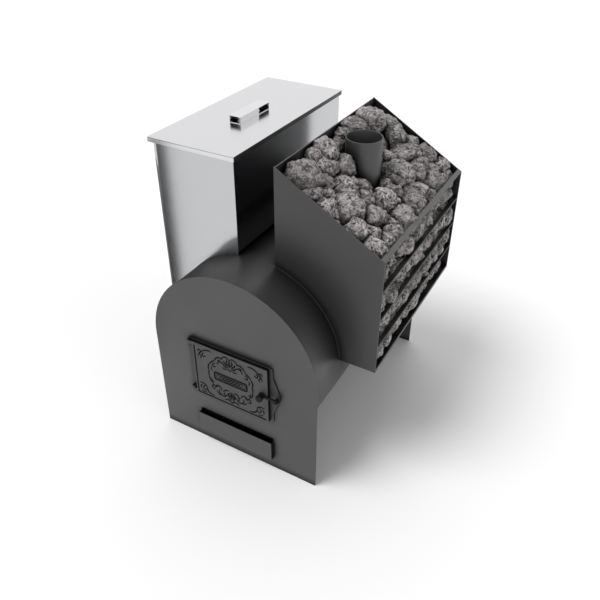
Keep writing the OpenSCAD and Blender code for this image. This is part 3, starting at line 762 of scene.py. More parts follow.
@dataclass(frozen=True)
class Blacking(Finish):
    """Dense black paint on the latch and the ball knob, and as painted shade on the door's ornament
    and on the side faces of the door leaf and the drawer front.

    The lighter edges, worn and with a painted highlight, are a share and a tone.
    """

    colour: Triple = (24.0, 24.0, 25.0)
    tones: Pair = (0.85, 1.2)
    wear_glint: Pair = (0.25, 2.4)
    roughness: float = 0.4
    drift: float = 0.05
    gloss: float = 0.5
    grit_strength: float = 0.4
    grit_depth: float = 0.00008

    def wire(self, wires: Shading, effects: Effects) -> None:
        """Wires an even black with a fine grit and rubbed high spots, lighter where worn and as a
        painted highlight.

        Args:
            wires: The material's wiring.
            effects: The shared effects.
        """
        grit = wires.effect(effects.grit, Scale=800.0, Clump=0.6)["Height"]
        rub_glint = wires.effect(effects.rub_glint, Width=0.001, Scale=90.0)["Mask"]
        patches = self.patches(wires, effects, scale=30.0, detail=4.0)
        tone = wires.between(patches, self.colour, *self.tones)
        # Lighter edges: worn, and with a painted highlight.
        wires.set(Base_Color=wires.over(tone, rub_glint, self.colour, *self.wear_glint),
                  Roughness=wires.about(patches, self.roughness, self.drift),
                  Specular_IOR_Level=self.gloss)
        wires.bump(grit, self.grit_strength, self.grit_depth)


@dataclass(frozen=True)
class RockSkin(Finish):
    """Rough grey volcanic rock, mottled and pitted.

    Cracks, curls and specks are the shares at which they cover the rock.
    """

    light: Triple = (230.0, 225.0, 223.0)
    middle: Triple = (178.0, 173.0, 172.0)
    dim: Triple = (110.0, 106.0, 105.0)
    dark: Triple = (42.0, 40.0, 40.0)
    cracks: float = 0.75
    curls: float = 0.8
    specks: float = 0.85
    dimmest: float = 0.5
    shade: float = 0.6
    gloss: float = 0.2
    roughness: Pair = (0.95, 0.82)
    pitting: float = -0.9
    graininess: float = 0.5
    lumps: Pair = (0.9, 0.0012)

    def wire(self, wires: Shading, effects: Effects) -> None:
        """Wires mottled grey, dark specks and veins, and deep shade between the lumps.

        Args:
            wires: The material's wiring.
            effects: The shared effects.
        """
        blotch = self.patches(wires, effects, scale=24.0, detail=4.0, low=0.38, high=0.6,
                              curl=2.0)
        specks = self.patches(wires, effects, scale=62.0, detail=3.0, low=0.56, high=0.63,
                              curl=1.5)
        curls = wires.effect(effects.wisp, Scale=26.0, Curl=3.0, Width=0.085)["Mask"]
        cracks = wires.effect(effects.wisp, Scale=38.0, Curl=2.2, Width=0.06)["Mask"]
        grit = wires.effect(effects.grit, Scale=420.0, Clump=1.6)["Height"]
        shade = wires.effect(effects.crevice_shade, Reach=0.034, Power=1.4)["Open"]
        each = wires.add("ShaderNodeNewGeometry").outputs["Random Per Island"]
        tone = wires.mix(blotch, toned(self.dim), toned(self.middle))
        for mask, colour, share in (
                (cracks, self.dark, self.cracks), (curls, self.light, self.curls),
                (specks, self.dark, self.specks), (each, self.dim, self.dimmest)):
            tone = wires.over(tone, mask, colour, share)
        wires.set(Base_Color=wires.mix(shade, toned(self.dark, self.shade), tone),
                  Roughness=wires.spread(blotch, 0.0, 1.0, *self.roughness),
                  Specular_IOR_Level=self.gloss)
        pits = wires.math("MULTIPLY", wires.math("ADD", specks, cracks), self.pitting)
        height = wires.math("ADD", wires.math("ADD", wires.math("ADD", blotch, curls), pits),
                            wires.math("MULTIPLY", grit, self.graininess))
        wires.bump(height, *self.lumps)


class Coat(Enum):
    """Every finish of the stove, by what it is put on."""

    # Body and shell paints darken corners as painted shade; the shell's long reach also paints
    # shade on it next to the tank and the basket.
    BODY = StovePaint("stove_paint")
    SHELL = StovePaint("shell_shade_paint", reach=0.095, shade=2.0)
    BASKET = StovePaint("basket_paint", colour=(36.0, 36.0, 38.0), coat_index=1.68)
    # Painted light: the top rail's paint is lighter than the basket's, standing in for the light on
    # its top.
    LIT_RIM = StovePaint("rim_lit_paint", colour=(52.0, 52.0, 53.0), coat_index=1.86)
    WELD = StovePaint("painted_weld", colour=(30.0, 30.0, 31.0), roughness=0.5, coat_index=1.5,
                      grit_scale=500.0, grit_depth=0.0002)
    CAST = CastPaint("cast_paint", colour=(50.0, 50.0, 51.0))
    LEAF = CastPaint("door_paint", colour=(64.0, 64.0, 65.0), reach=0.004)
    # Painted shade: black relief and leaf sides stand in for the shadows round the ornament and
    # along the door's edges.
    ORNAMENT_SHADE = Blacking("ornament_shade_black", colour=(10.0, 10.0, 10.0), roughness=0.8, gloss=0.1)
    # Also black as painted shade on the drawer front's side and inner faces.
    LATCH = Blacking("latch_black", colour=(14.0, 14.0, 15.0), roughness=0.6, gloss=0.2)
    KNOB = Blacking("knob_black", colour=(12.0, 12.0, 13.0), roughness=0.5, grit_depth=0.00002,
                    gloss=0.3)
    BARE = BareSteel("bare_steel")
    # Painted shade: the ash pan's bare steel darkened to read as the shade inside the drawer's
    # slot.
    PAN_SHADE = BareSteel("pan_shade_steel", colour=(54.0, 53.0, 52.0), tint=(34.0, 32.0, 30.0))
    # Dark steel for the lid's strips of painted shade and painted dark reflection.
    SHADE_STRIP = BareSteel("shade_strip_steel", colour=(96.0, 96.0, 98.0), tint=(70.0, 68.0, 66.0))
    # The tank's sheet is darker and the lid's lighter than one stainless would be: painted shade on
    # the tank, painted light on the lid.
    TANK_SHADED = StainlessSheet("tank_stainless_shaded", colour=(194.0, 195.0, 197.0), roughness=0.15,
                          stretch=(60.0, 60.0, 1.0), grain=0.1, smear=0.02)
    COVER_LIT = StainlessSheet("lid_stainless_lit", colour=(221.0, 221.0, 223.0), roughness=0.2,
                           stretch=(60.0, 1.0, 60.0), grain=0.05, smear=0.02)
    BRIGHT = StainlessSheet("polished_stainless", colour=(228.0, 228.0, 230.0), roughness=0.08,
                            stretch=(60.0, 1.0, 60.0), grain=0.08, smear=0.02)
    ROCK = RockSkin("rock_skin")


class Paintshop:
    """Holds the mixed finishes, dresses the frame's nodes and finishes new pieces."""

    weld_gap: float = 1e-5
    flat_angle: float = 0.6
    edge_angle: float = 32.0
    front_face: float = -0.5

    def __init__(self) -> None:
        """Mixes every finish once."""
        effects = Effects()
        self.materials = {coat: coat.value.build(effects) for coat in Coat}

    def coat(self, piece: Piece, coat: Coat) -> None:
        """Gives a piece one finish all over."""
        piece.data.materials.clear()
        piece.data.materials.append(self.materials[coat])

    def shade_sides(self, piece: Piece, coat: Coat) -> None:
        """Paints shade on a new piece's faces that aren't turned to the front, with a second, dark
        finish.

        Args:
            piece: The piece.
            coat: The dark finish that stands in for their shade.
        """
        piece.data.materials.append(self.materials[coat])
        for face in piece.data.polygons:
            if face.normal.y > self.front_face:
                face.material_index = 1

    def dress(self, coat: Coat, **edges: float) -> None:
        """Gives nodes of the frame a finish and softly broken edges.

        Args:
            coat: Their finish.
            edges: For each node the width of its broken edges in millimetres, 0 for none.
        """
        for node, edge in edges.items():
            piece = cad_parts[node]
            self.coat(piece, coat)
            if edge:
                piece.modifiers.new("join", "WELD").merge_threshold = self.weld_gap
                flat = piece.modifiers.new("merge_flat_faces", "DECIMATE")
                flat.decimate_type = "DISSOLVE"
                flat.angle_limit = math.radians(self.flat_angle)
                softened(piece, edge, 2, self.edge_angle, harden=True)

    def finish(self, piece: Piece, body: Body, slot: Slot, coat: Coat, *stands_for: str) -> Piece:
        """Coats a new piece and ties it to the frame.

        Args:
            piece: The new piece.
            body: The body it moves with.
            slot: The record's slot of its finish; not used.
            coat: Its finish.
            stands_for: Nodes of the frame that it replaces.

        Returns:
            The piece.
        """
        self.coat(piece, coat)
        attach(piece, body.value)
        if stands_for:
            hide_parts(*stands_for)
        return piece


# ---------------------------------------------------------------- sub-assemblies


class SubAssembly:
    """One part of the stove. A subclass holds its sizes and builds its pieces."""

    def build(self, shop: Paintshop) -> list[Piece]:
        """Builds and dresses the pieces, and returns those that aren't the frame's own nodes."""
        raise NotImplementedError


@dataclass
class WeldBead:
    """A rippled fillet weld in the corner between two faces."""

    leg: float = 2.0
    ripple: float = 2.2
    unevenness: float = 0.13
    drifts: tuple[Triple, ...] = ((0.06, 0.11, 1.3), (0.04, 0.37, 0.0))
    taper: float = 0.4
    hollow: float = 0.16
    root: float = -0.12
    facets: int = 6
    points_each: int = 3

    def run(self, path: np.ndarray, side: object, rise: object) -> Shell:
        """Lays the bead along a path.

        Args:
            path: Points along the corner, about a third of a ripple apart.
            side: Direction along the first face, for all points or for each.
            rise: Direction along the second face, for all points or for each.

        Returns:
            The bead's shell.
        """
        steps = np.linalg.norm(np.diff(path, axis=0), axis=1)
        lengths = np.concatenate([[0.0], np.cumsum(steps)])
        wave = np.abs(np.sin(lengths * math.pi / self.ripple))
        drift = sum(share * np.sin(lengths * pitch + start) for share, pitch, start in self.drifts)
        size = self.leg * (1 - self.unevenness + self.unevenness * wave + drift)
        size[0] = size[-1] = self.leg * self.taper
        angles = np.linspace(0, QUARTER, self.facets)
        bulge = 1.0 - self.hollow * np.sin(2 * angles)
        ring = np.column_stack([np.cos(angles) * bulge, np.sin(angles) * bulge])
        ring = np.vstack([[self.root, self.root], ring])
        return sweep(path, side, rise, size[:, None, None] * ring[None])

    @property
    def step(self) -> float:
        """Distance between points of a path."""
        return self.ripple / self.points_each


@dataclass
class StoveBody(SubAssembly):
    """The firebox between its two plates, with what lies inside it."""

    wall_base: float = 345.0
    hearth_half: float = 152.0
    hearth_height: float = 150.0
    plate: float = 5.0
    depth: float = 848.0
    bead: float = 1.8

    def outline(self, step: float) -> tuple[np.ndarray, np.ndarray]:
        """The shell's outer line seen from the front, left foot to right foot.

        Args:
            step: Distance between points.

        Returns:
            Points (x, z) and the outward directions there.
        """
        foot = np.array([self.hearth_half, self.hearth_height])
        slope = np.array([SHELL, self.wall_base]) - foot
        length = float(np.linalg.norm(slope))
        shares = np.arange(int(length / step)) * step / length
        rises = np.arange(int((ARCH - self.wall_base) / step)) * step
        angles = np.linspace(0, QUARTER, int(QUARTER * SHELL / step) + 1)
        arc = np.column_stack([np.cos(angles), np.sin(angles)])
        wall = np.column_stack([np.full(len(rises), SHELL), self.wall_base + rises])
        right = np.vstack([foot + shares[:, None] * slope, wall, arc * SHELL + (0.0, ARCH)])
        outs = np.vstack([np.tile([slope[1], -slope[0]], (len(shares), 1)) / length,
                          np.tile([1.0, 0.0], (len(rises), 1)), arc])
        flip = np.array([-1.0, 1.0])
        return (np.vstack([right * flip, right[-2::-1]]), np.vstack([outs * flip, outs[-2::-1]]))

    def seams(self) -> Piece:
        """The welds between the shell and both plates.

        Returns:
            Both welds as one piece.
        """
        weld = WeldBead(leg=self.bead)
        line, out = self.outline(weld.step)
        side = np.insert(out, 1, 0.0, axis=1)
        shells = [weld.run(np.insert(line, 1, y, axis=1), side, (0.0, way, 0.0))
                  for y, way in ((self.plate, 1.0), (self.depth - self.plate, -1.0))]
        return mesh_piece("body_seam_welds", shells, crease=60.0)

    def build(self, shop: Paintshop) -> list[Piece]:
        """Dresses the body's nodes and adds its welds.

        Args:
            shop: The finishes to choose from.

        Returns:
            The new pieces.
        """
        shop.dress(Coat.BODY, front_plate=0.7, back_plate=0.7)
        shop.dress(Coat.SHELL, firebox_shell=0.0)
        shop.dress(Coat.BASKET, ash_channel=0.5)
        shop.dress(Coat.BARE, hearth_plate=0.6, smoke_baffle=0.6)
        shop.dress(Coat.CAST, fire_grate=1.6)
        return [shop.finish(self.seams(), Body.STOVE, Slot.BODY_PAINT, Coat.WELD)]


@dataclass
class Flue(SubAssembly):
    """The pipe that rises through the stones."""

    x: float = 190.0
    y: float = 486.0
    radius: float = 57.5
    bead: float = 2.8

    def collar(self) -> Piece:
        """The weld where the pipe passes through the round shell.

        Returns:
            The weld.
        """
        weld = WeldBead(leg=self.bead, ripple=self.bead)
        count = int(2 * math.pi * self.radius / weld.step)
        angles = np.arange(count + 1) / count * 2 * math.pi
        out = np.column_stack([np.cos(angles), np.sin(angles), np.zeros(count + 1)])
        path = np.array([self.x, self.y, 0.0]) + out * self.radius
        path[:, 2] = ARCH + np.sqrt(SHELL**2 - path[:, 0] ** 2)
        return mesh_piece("flue_collar_weld", [weld.run(path, out, UP)], crease=60.0)

    def build(self, shop: Paintshop) -> list[Piece]:
        """Dresses the pipe and adds its collar weld.

        Args:
            shop: The finishes to choose from.

        Returns:
            The new pieces.
        """
        shop.dress(Coat.BODY, flue_pipe=0.6)
        return [shop.finish(self.collar(), Body.STOVE, Slot.BODY_PAINT, Coat.WELD)]


@dataclass(frozen=True)
class Stroke:
    """One tapering stroke of the door's cast ornament, in millimetres from the door's middle.

    It runs smoothly through its points. A bud is the radius of the round end, 0 for a leaf.
    Blunt keeps a leaf's tips from closing, and stem and narrowing thin a stroke with a bud.
    """

    points: tuple[Pair, ...]
    width: float = 5.4
    bud: float = 0.0
    blunt: float = 0.03
    stem: float = 0.4
    narrowing: float = 0.2
    steps: int = 8

    def mirrored(self) -> "Stroke":
        """The same stroke on the door's other side."""
        return Stroke(tuple((-x, z) for x, z in self.points), self.width, self.bud)

    def line(self) -> tuple[np.ndarray, np.ndarray]:
        """Runs a smooth line through the stroke's points.

        Returns:
            Points along the stroke and the headings there, in radians.
        """
        knots = np.array(self.points, float)
        run = np.vstack([2 * knots[0] - knots[1], knots, 2 * knots[-1] - knots[-2]])
        t = np.linspace(0.0, 1.0, self.steps, endpoint=False)[:, None]
        parts = [0.5 * (2 * b + (c - a) * t + (2 * a - 5 * b + 4 * c - d) * t**2
                        + (3 * b - a - 3 * c + d) * t**3)
                 for a, b, c, d in zip(run, run[1:], run[2:], run[3:])]
        points = np.vstack(parts + [knots[-1:]])
        ahead = np.gradient(points, axis=0)
        return points, np.arctan2(ahead[:, 1], ahead[:, 0])

    def widths(self, count: int) -> np.ndarray:
        """The stroke's width at each of its points.

        Args:
            count: The number of points.

        Returns:
            The widths.
        """
        share = np.linspace(0, 1, count)
        swell = np.sqrt(np.sin(math.pi * np.clip(share, self.blunt, 1 - self.blunt)))
        if self.bud:
            return self.width * (self.stem + (1 - self.stem) * swell) * (1 - self.narrowing * share)
        return self.width * swell


# The ornament's right half, and what lies on its middle line.
SPRAYS = (
    Stroke(((3, 64), (10, 74), (9, 88))), Stroke(((5, 60), (16, 66), (22, 78))),
    Stroke(((5, 55), (16, 55), (25, 62))),
    Stroke(((3, 90), (12, 96), (24, 91), (28, 84)), 4.4, 2.2),
    Stroke(((10, 47), (18, 44), (28, 48)), 4.0),
    Stroke(((27, 79), (38, 83), (50, 76), (59, 61)), 5.0),
    Stroke(((16, 52), (28, 66), (40, 65), (47, 54)), 4.4, 2.4),
    Stroke(((58, 62), (68, 54), (77, 44)), 5.0), Stroke(((76, 46), (84, 28), (83, 12)), 5.0),
    Stroke(((56, 52), (65, 46), (64, 36), (56, 38)), 4.0, 2.2),
    Stroke(((80, 14), (84, 2), (82, -8)), 4.6), Stroke(((34, 74), (42, 70), (44, 62)), 3.6),
    Stroke(((70, 34), (72, 24), (68, 14)), 3.8), Stroke(((84, -6), (80, -26), (68, -42)), 4.8),
    Stroke(((70, -40), (62, -50), (52, -46)), 4.6),
    Stroke(((36, -56), (44, -42), (56, -42), (62, -54)), 4.6),
    Stroke(((66, -44), (74, -50), (72, -60), (64, -60)), 4.2, 2.2),
    Stroke(((48, -56), (44, -72), (30, -79), (16, -66)), 5.0, 2.4),
    Stroke(((33, -60), (22, -48), (8, -46)), 4.6), Stroke(((3, -52), (12, -60), (13, -72))),
    Stroke(((2, -60), (8, -70), (6, -84))), Stroke(((3, -88), (16, -86), (28, -93)), 4.8),
    Stroke(((24, -60), (30, -66), (26, -72)), 3.8, 2.0),
    Stroke(((58, -64), (52, -74), (42, -80)), 4.0),
    Stroke(((76, -18), (72, -28), (64, -32)), 3.8),
    Stroke(((67, 92), (80, 94), (93, 90), (102, 83)), 5.0),
    Stroke(((100, 86), (112, 74), (120, 56)), 5.4),
    Stroke(((98, 78), (104, 70), (100, 62), (93, 66)), 4.2, 2.4),
    Stroke(((112, 66), (108, 58), (112, 50)), 4.0),
    Stroke(((108, 82), (116, 84), (122, 76)), 4.0),
    Stroke(((125, -58), (108, -58), (95, -68)), 5.0),
    Stroke(((97, -66), (94, -84), (82, -93), (67, -95)), 5.2),
    Stroke(((104, -66), (112, -74), (106, -84), (99, -80)), 4.2, 2.4),
    Stroke(((100, -93), (110, -95), (118, -89)), 4.0),
    Stroke(((116, -66), (122, -74), (120, -84)), 4.0),
)
MIDDLES = (
    Stroke(((0, 56), (0, 92)), 5.6), Stroke(((0, -48), (0, -80)), 5.4),
    Stroke(((-8, 50), (0, 44), (8, 50)), 4.4), Stroke(((-9, -86), (0, -94), (9, -86)), 4.4),
)
# Two waves of 27 points, 4 mm apart, that cross over the plaque.
BRAID = tuple(Stroke(tuple((-52.0 + 4 * i, way * 6.0 * math.sin(i * math.pi / 3))
                           for i in range(27)), 3.0) for way in (-1, 1))


@dataclass
class FireDoor(SubAssembly):
    """The cast door with its frame, ornament, hinge and latch."""

    width: float = 278.0
    height: float = 218.0
    middle: float = 334.0
    back: float = -4.3
    front: float = -14.3
    relief: float = 1.5
    border: float = 7.0
    chamfer: float = 1.2
    hinge: Pair = (-153.0, -11.3)
    knuckle_radius: float = 7.0
    knuckle_height: float = 15.0
    knuckle_chamfer: float = 0.8
    pin_bore: float = 3.05
    arm_reach: float = 3.6
    arm_root: float = 2.0
    arm_gap: float = 0.6
    arm_slope: float = 0.4
    overlap: float = 0.2
    latch_x: float = 118.0
    spindle_bore: float = 5.05
    nut_recess: float = 10.3
    nut_depth: float = 4.6
    clear: float = 9.0
    screw_places: Pair = (92.0, 61.0)
    screw_bore: float = 2.55
    boss_reach: float = 7.7
    boss_radii: Triple = (6.4, 7.0, 7.6)
    boss_round: float = 0.6
    boss_sunk: float = 0.5
    ridge_share: float = 0.55
    bud_end: float = 0.02
    bud_sides: int = 14
    bud_rings: int = 5
    arc_points: int = 7
    plaque_half: Pair = (61.0, 15.0)
    plaque_rim: Pair = (5.5, 6.0)
    plaque_line: Triple = (1.6, 3.0, 0.6)
    plaque_inset: float = 6.0
    moulding_inset: float = 4.5
    moulding_stops: Pair = (6.0, 8.0)
    moulding_step: float = 6.0
    moulding: tuple[Pair, ...] = ((3.4, -0.3), (3.0, 1.3), (0.0, 1.5), (-3.0, 1.3), (-3.4, -0.3))

    def slab(self) -> Piece:
        """The leaf's plate with its raised border and softened edges.

        Returns:
            The plate.
        """
        half_x, half_z = self.width / 2, self.height / 2
        points, sides = box((-half_x, self.front - self.relief, self.middle - half_z),
                            (half_x, self.back, self.middle + half_z))
        work = bmesh.new()
        corners = [work.verts.new(point) for point in placed(points).tolist()]
        for side in sides:
            work.faces.new([corners[i] for i in side])
        bmesh.ops.recalc_face_normals(work, faces=work.faces)
        front = min(work.faces, key=lambda face: face.calc_center_median().y)
        for width in (self.border, self.chamfer):
            bmesh.ops.inset_individual(work, faces=[front], thickness=width * MM)
        bmesh.ops.translate(work, verts=list(front.verts), vec=(0, self.relief * MM, 0))
        return settled(softened(drawn("door_slab", work), self.chamfer, 3))

    def leaf(self) -> Piece:
        """The whole leaf: slab, knuckles with their arms, screw bosses, latch bore and recess.

        Returns:
            The leaf.
        """
        past = self.back + self.clear
        cutters = [mesh_piece("cutter", [turned((self.latch_x, 0, self.middle), ALONG_Y, [
            (NEEDLE, start), (radius, start), (radius, past), (NEEDLE, past)])])
            for radius, start in ((self.spindle_bore, self.front - self.clear),
                                  (self.nut_recess, self.back - self.nut_depth))]
        slab = carved(self.slab(), cutters)
        fittings = []
        r, h, c = self.knuckle_radius, self.knuckle_height, self.knuckle_chamfer
        for z in (self.middle - self.height / 2, self.middle + self.height / 2 - h):
            fittings.append(turned((*self.hinge, z), ALONG_Z, [
                (self.pin_bore, 0), (r - c, 0), (r, c),
                (r, h - c), (r - c, h), (self.pin_bore, h)]))
            fittings.append(self.arm(z))
        bore, reach, foot = self.screw_bore, self.boss_reach, self.back - self.boss_sunk
        tip, rim, root = self.boss_radii
        boss = [(bore, self.back + self.overlap), (bore, reach), (tip, reach),
                (rim, reach - self.boss_round), (root, foot), (bore, foot)]
        screw_x, screw_z = self.screw_places
        fittings += [turned((x, 0, self.middle + z), ALONG_Y, boss)
                     for x in (-screw_x, screw_x) for z in (-screw_z, screw_z)]
        return self.joined("fire_door_leaf_cast", [slab, mesh_piece("door_fittings", fittings)])

    def arm(self, z: float) -> Shell:
        """The lug that joins a knuckle to the leaf, thinner at the knuckle.

        Args:
            z: The knuckle's lower end.

        Returns:
            The lug's shell.
        """
        x, y = self.hinge
        near, far = x + self.arm_reach, self.arm_root - self.width / 2
        half = self.knuckle_radius - self.arm_slope
        outline = [(near, y - half), (far, self.front + self.overlap),
                   (far, self.back - self.overlap), (near, y + half)]
        heights = (z + self.arm_gap, z + self.knuckle_height - self.arm_gap)
        points = [(x, y, height) for height in heights for x, y in outline]
        faces = [(i, (i + 1) % 4, 4 + (i + 1) % 4, 4 + i) for i in range(4)]
        return np.array(points, float), [(3, 2, 1, 0), (4, 5, 6, 7), *faces]

    @staticmethod
    def joined(name: str, pieces: list[Piece]) -> Piece:
        """Joins several objects' meshes into one.

        Args:
            name: The new object's name.
            pieces: The objects, which are removed.

        Returns:
            The new object.
        """
        work = bmesh.new()
        for piece in pieces:
            work.from_mesh(piece.data)
            bpy.data.objects.remove(piece)
        done = drawn(name, work)
        smoothed(done.data, 35.0)
        return done

    def ridge(self, stroke: Stroke) -> list[Shell]:
        """One stroke as a rounded ridge that stands on the leaf, with its bud.

        Args:
            stroke: The stroke.

        Returns:
            The shells of the ridge and the bud.
        """
        points, headings = stroke.line()
        count = len(points)
        widths = stroke.widths(count)
        path = np.insert(points + (0.0, self.middle), 1, self.front, axis=1)
        side = np.column_stack([-np.sin(headings), np.zeros(count), np.cos(headings)])
        angles = np.linspace(0, math.pi, self.arc_points)
        heights = np.minimum(self.relief, widths * self.ridge_share)
        arc = np.stack([np.cos(angles)[None] * widths[:, None] / 2,
                        np.sin(angles)[None] * heights[:, None]], axis=2)
        foot = np.stack([np.column_stack([way * widths / 2, np.full(count, -SUNK)])
                         for way in (-1, 1)], axis=1)
        shells = [sweep(path, side, OUTWARD, np.concatenate([arc, foot], axis=1))]
        if stroke.bud:
            x, z = points[-1]
            low, high = self.front + SUNK, min(self.relief, stroke.bud)
            rim = [(stroke.bud * math.cos(a), self.front - high * math.sin(a))
                   for a in np.linspace(0, QUARTER - self.bud_end, self.bud_rings)]
            shells.append(turned((x, 0, z + self.middle), ALONG_Y,
                                 [(NEEDLE, low), (stroke.bud, low)] + rim, self.bud_sides))
        return shells

    def loop(self, half: Pair, width: float, height: float, corner: float) -> Shell:
        """A rounded rectangular ridge round the leaf's middle.

        Args:
            half: Half its width and height along its middle line.
            width: The ridge's width.
            height: How far it stands out.
            corner: Radius of its corners.

        Returns:
            The closed ridge.
        """
        path, outs = [], []
        for turn, signs in enumerate(((1, 1), (-1, 1), (-1, -1), (1, -1))):
            for i in range(self.arc_points):
                angle = (turn + i / (self.arc_points - 1)) * QUARTER
                out = (math.cos(angle), math.sin(angle))
                x, z = (s * (h - corner) + corner * o for s, h, o in zip(signs, half, out))
                path.append((x, self.front, z + self.middle))
                outs.append((out[0], 0.0, out[1]))
        angles = np.linspace(0, math.pi, self.arc_points)
        ring = np.column_stack([np.cos(angles) * width / 2, np.sin(angles) * height])
        ring = np.vstack([ring, [[-width / 2, -SUNK], [width / 2, -SUNK]]])
        return sweep(np.array(path), outs, OUTWARD, ring, closed=True)

    def edge_moulding(self, start: Pair, end: Pair) -> Shell:
        """A straight ridge along the leaf's edge.

        Args:
            start: Where it begins, as x and z from the leaf's middle.
            end: Where it stops.

        Returns:
            The ridge.
        """
        path = spaced([(x, self.front, self.middle + z) for x, z in (start, end)],
                      self.moulding_step)
        along = unit((end[0] - start[0], 0.0, end[1] - start[1]))
        return sweep(path, (-along[2], 0.0, along[0]), OUTWARD, np.array(self.moulding))

    def ornament(self) -> Piece:
        """The scrollwork, the plaque with its braid, and the mouldings of two edges.

        Returns:
            The ornament as one piece.
        """
        strokes = [*MIDDLES, *BRAID, *SPRAYS, *(stroke.mirrored() for stroke in SPRAYS)]
        shells = [shell for stroke in strokes for shell in self.ridge(stroke)]
        (width, corner), (line, line_corner, share) = self.plaque_rim, self.plaque_line
        shells.append(self.loop(self.plaque_half, width, self.relief, corner))
        x, z = (size / 2 - self.moulding_inset for size in (self.width, self.height))
        stop_x, stop_z = self.moulding_stops
        # Finished black, these two mouldings are painted shadow lines along the leaf's bottom and
        # left edges.
        shells.append(self.edge_moulding((-x, -z), (x - stop_x, -z)))
        shells.append(self.edge_moulding((-x, z - stop_z), (-x, -z)))
        inner = tuple(half - self.plaque_inset for half in self.plaque_half)
        shells.append(self.loop(inner, line, self.relief * share, line_corner))
        return mesh_piece("fire_door_ornament", shells, crease=50.0)

    def build(self, shop: Paintshop) -> list[Piece]:
        """Dresses the frame and latch, and builds the cast leaf with its ornament; the ornament and
        the leaf's side faces are black as painted shade.

        Args:
            shop: The finishes to choose from.

        Returns:
            The new pieces.
        """
        shop.dress(Coat.CAST, door_frame=0.9, door_frame_bolts=0.3, door_frame_nuts=0.4,
                   latch_nut=0.4)
        shop.dress(Coat.LATCH, latch_catch=0.8, latch_lever=0.7, door_hinge_pins=0.4)
        shop.dress(Coat.KNOB, latch_knob=0.0)
        shop.dress(Coat.BARE, door_heat_shield=0.5, shield_screws=0.4)
        leaf = shop.finish(self.leaf(), Body.DOOR, Slot.CAST_IRON, Coat.LEAF, "door_leaf")
        # The leaf's side faces turn black: painted shade.
        shop.shade_sides(leaf, Coat.ORNAMENT_SHADE)
        return [leaf, shop.finish(self.ornament(), Body.DOOR, Slot.CAST_IRON, Coat.ORNAMENT_SHADE)]


@dataclass
class AshDrawer(SubAssembly):
    """The box-fronted drawer under the fire door."""

    half: float = 144.0
    out: float = 14.0
    low: float = 46.0
    top: float = 126.0
    sheet: float = 2.0
    fold: float = 1.2
    gap: float = 0.1
    tongue_half: float = 140.0
    tongue_back: float = 5.0
    edge: float = 0.5

    def folded(self) -> Piece:
        """The front as folded sheet, open at its top, with its tongue that runs in to the pan.

        Returns:
            The front.
        """
        h, t, low, top, front = self.half, self.sheet, self.low, self.top, -self.out
        inside = front + self.fold
        walls = [box((-h, front, low), (h, front + t, top)),
                 box((-h, inside, low), (-h + t, -self.gap, top)),
                 box((h - t, inside, low), (h, -self.gap, top)),
                 box((-h + self.fold, inside, low), (h - self.fold, -self.gap, low + t)),
                 box((-self.tongue_half, -t, low), (self.tongue_half, self.tongue_back, low + t))]
        piece = mesh_piece("ash_drawer_front_sheet", walls, crease=0.0)
        return settled(softened(piece, self.edge, 2, harden=True))

    def build(self, shop: Paintshop) -> list[Piece]:
        """Builds the front, painted on its face and black elsewhere as painted shade, and dresses
        the pan in steel darkened as painted shade.

        Args:
            shop: The finishes to choose from.

        Returns:
            The new pieces.
        """
        piece = shop.finish(self.folded(), Body.DRAWER, Slot.BODY_PAINT, Coat.BODY,
                            "ash_drawer_front")
        # The drawer front's side and inner faces turn black: painted shade.
        shop.shade_sides(piece, Coat.LATCH)
        shop.dress(Coat.PAN_SHADE, ash_drawer_pan=0.5)
        return [piece]


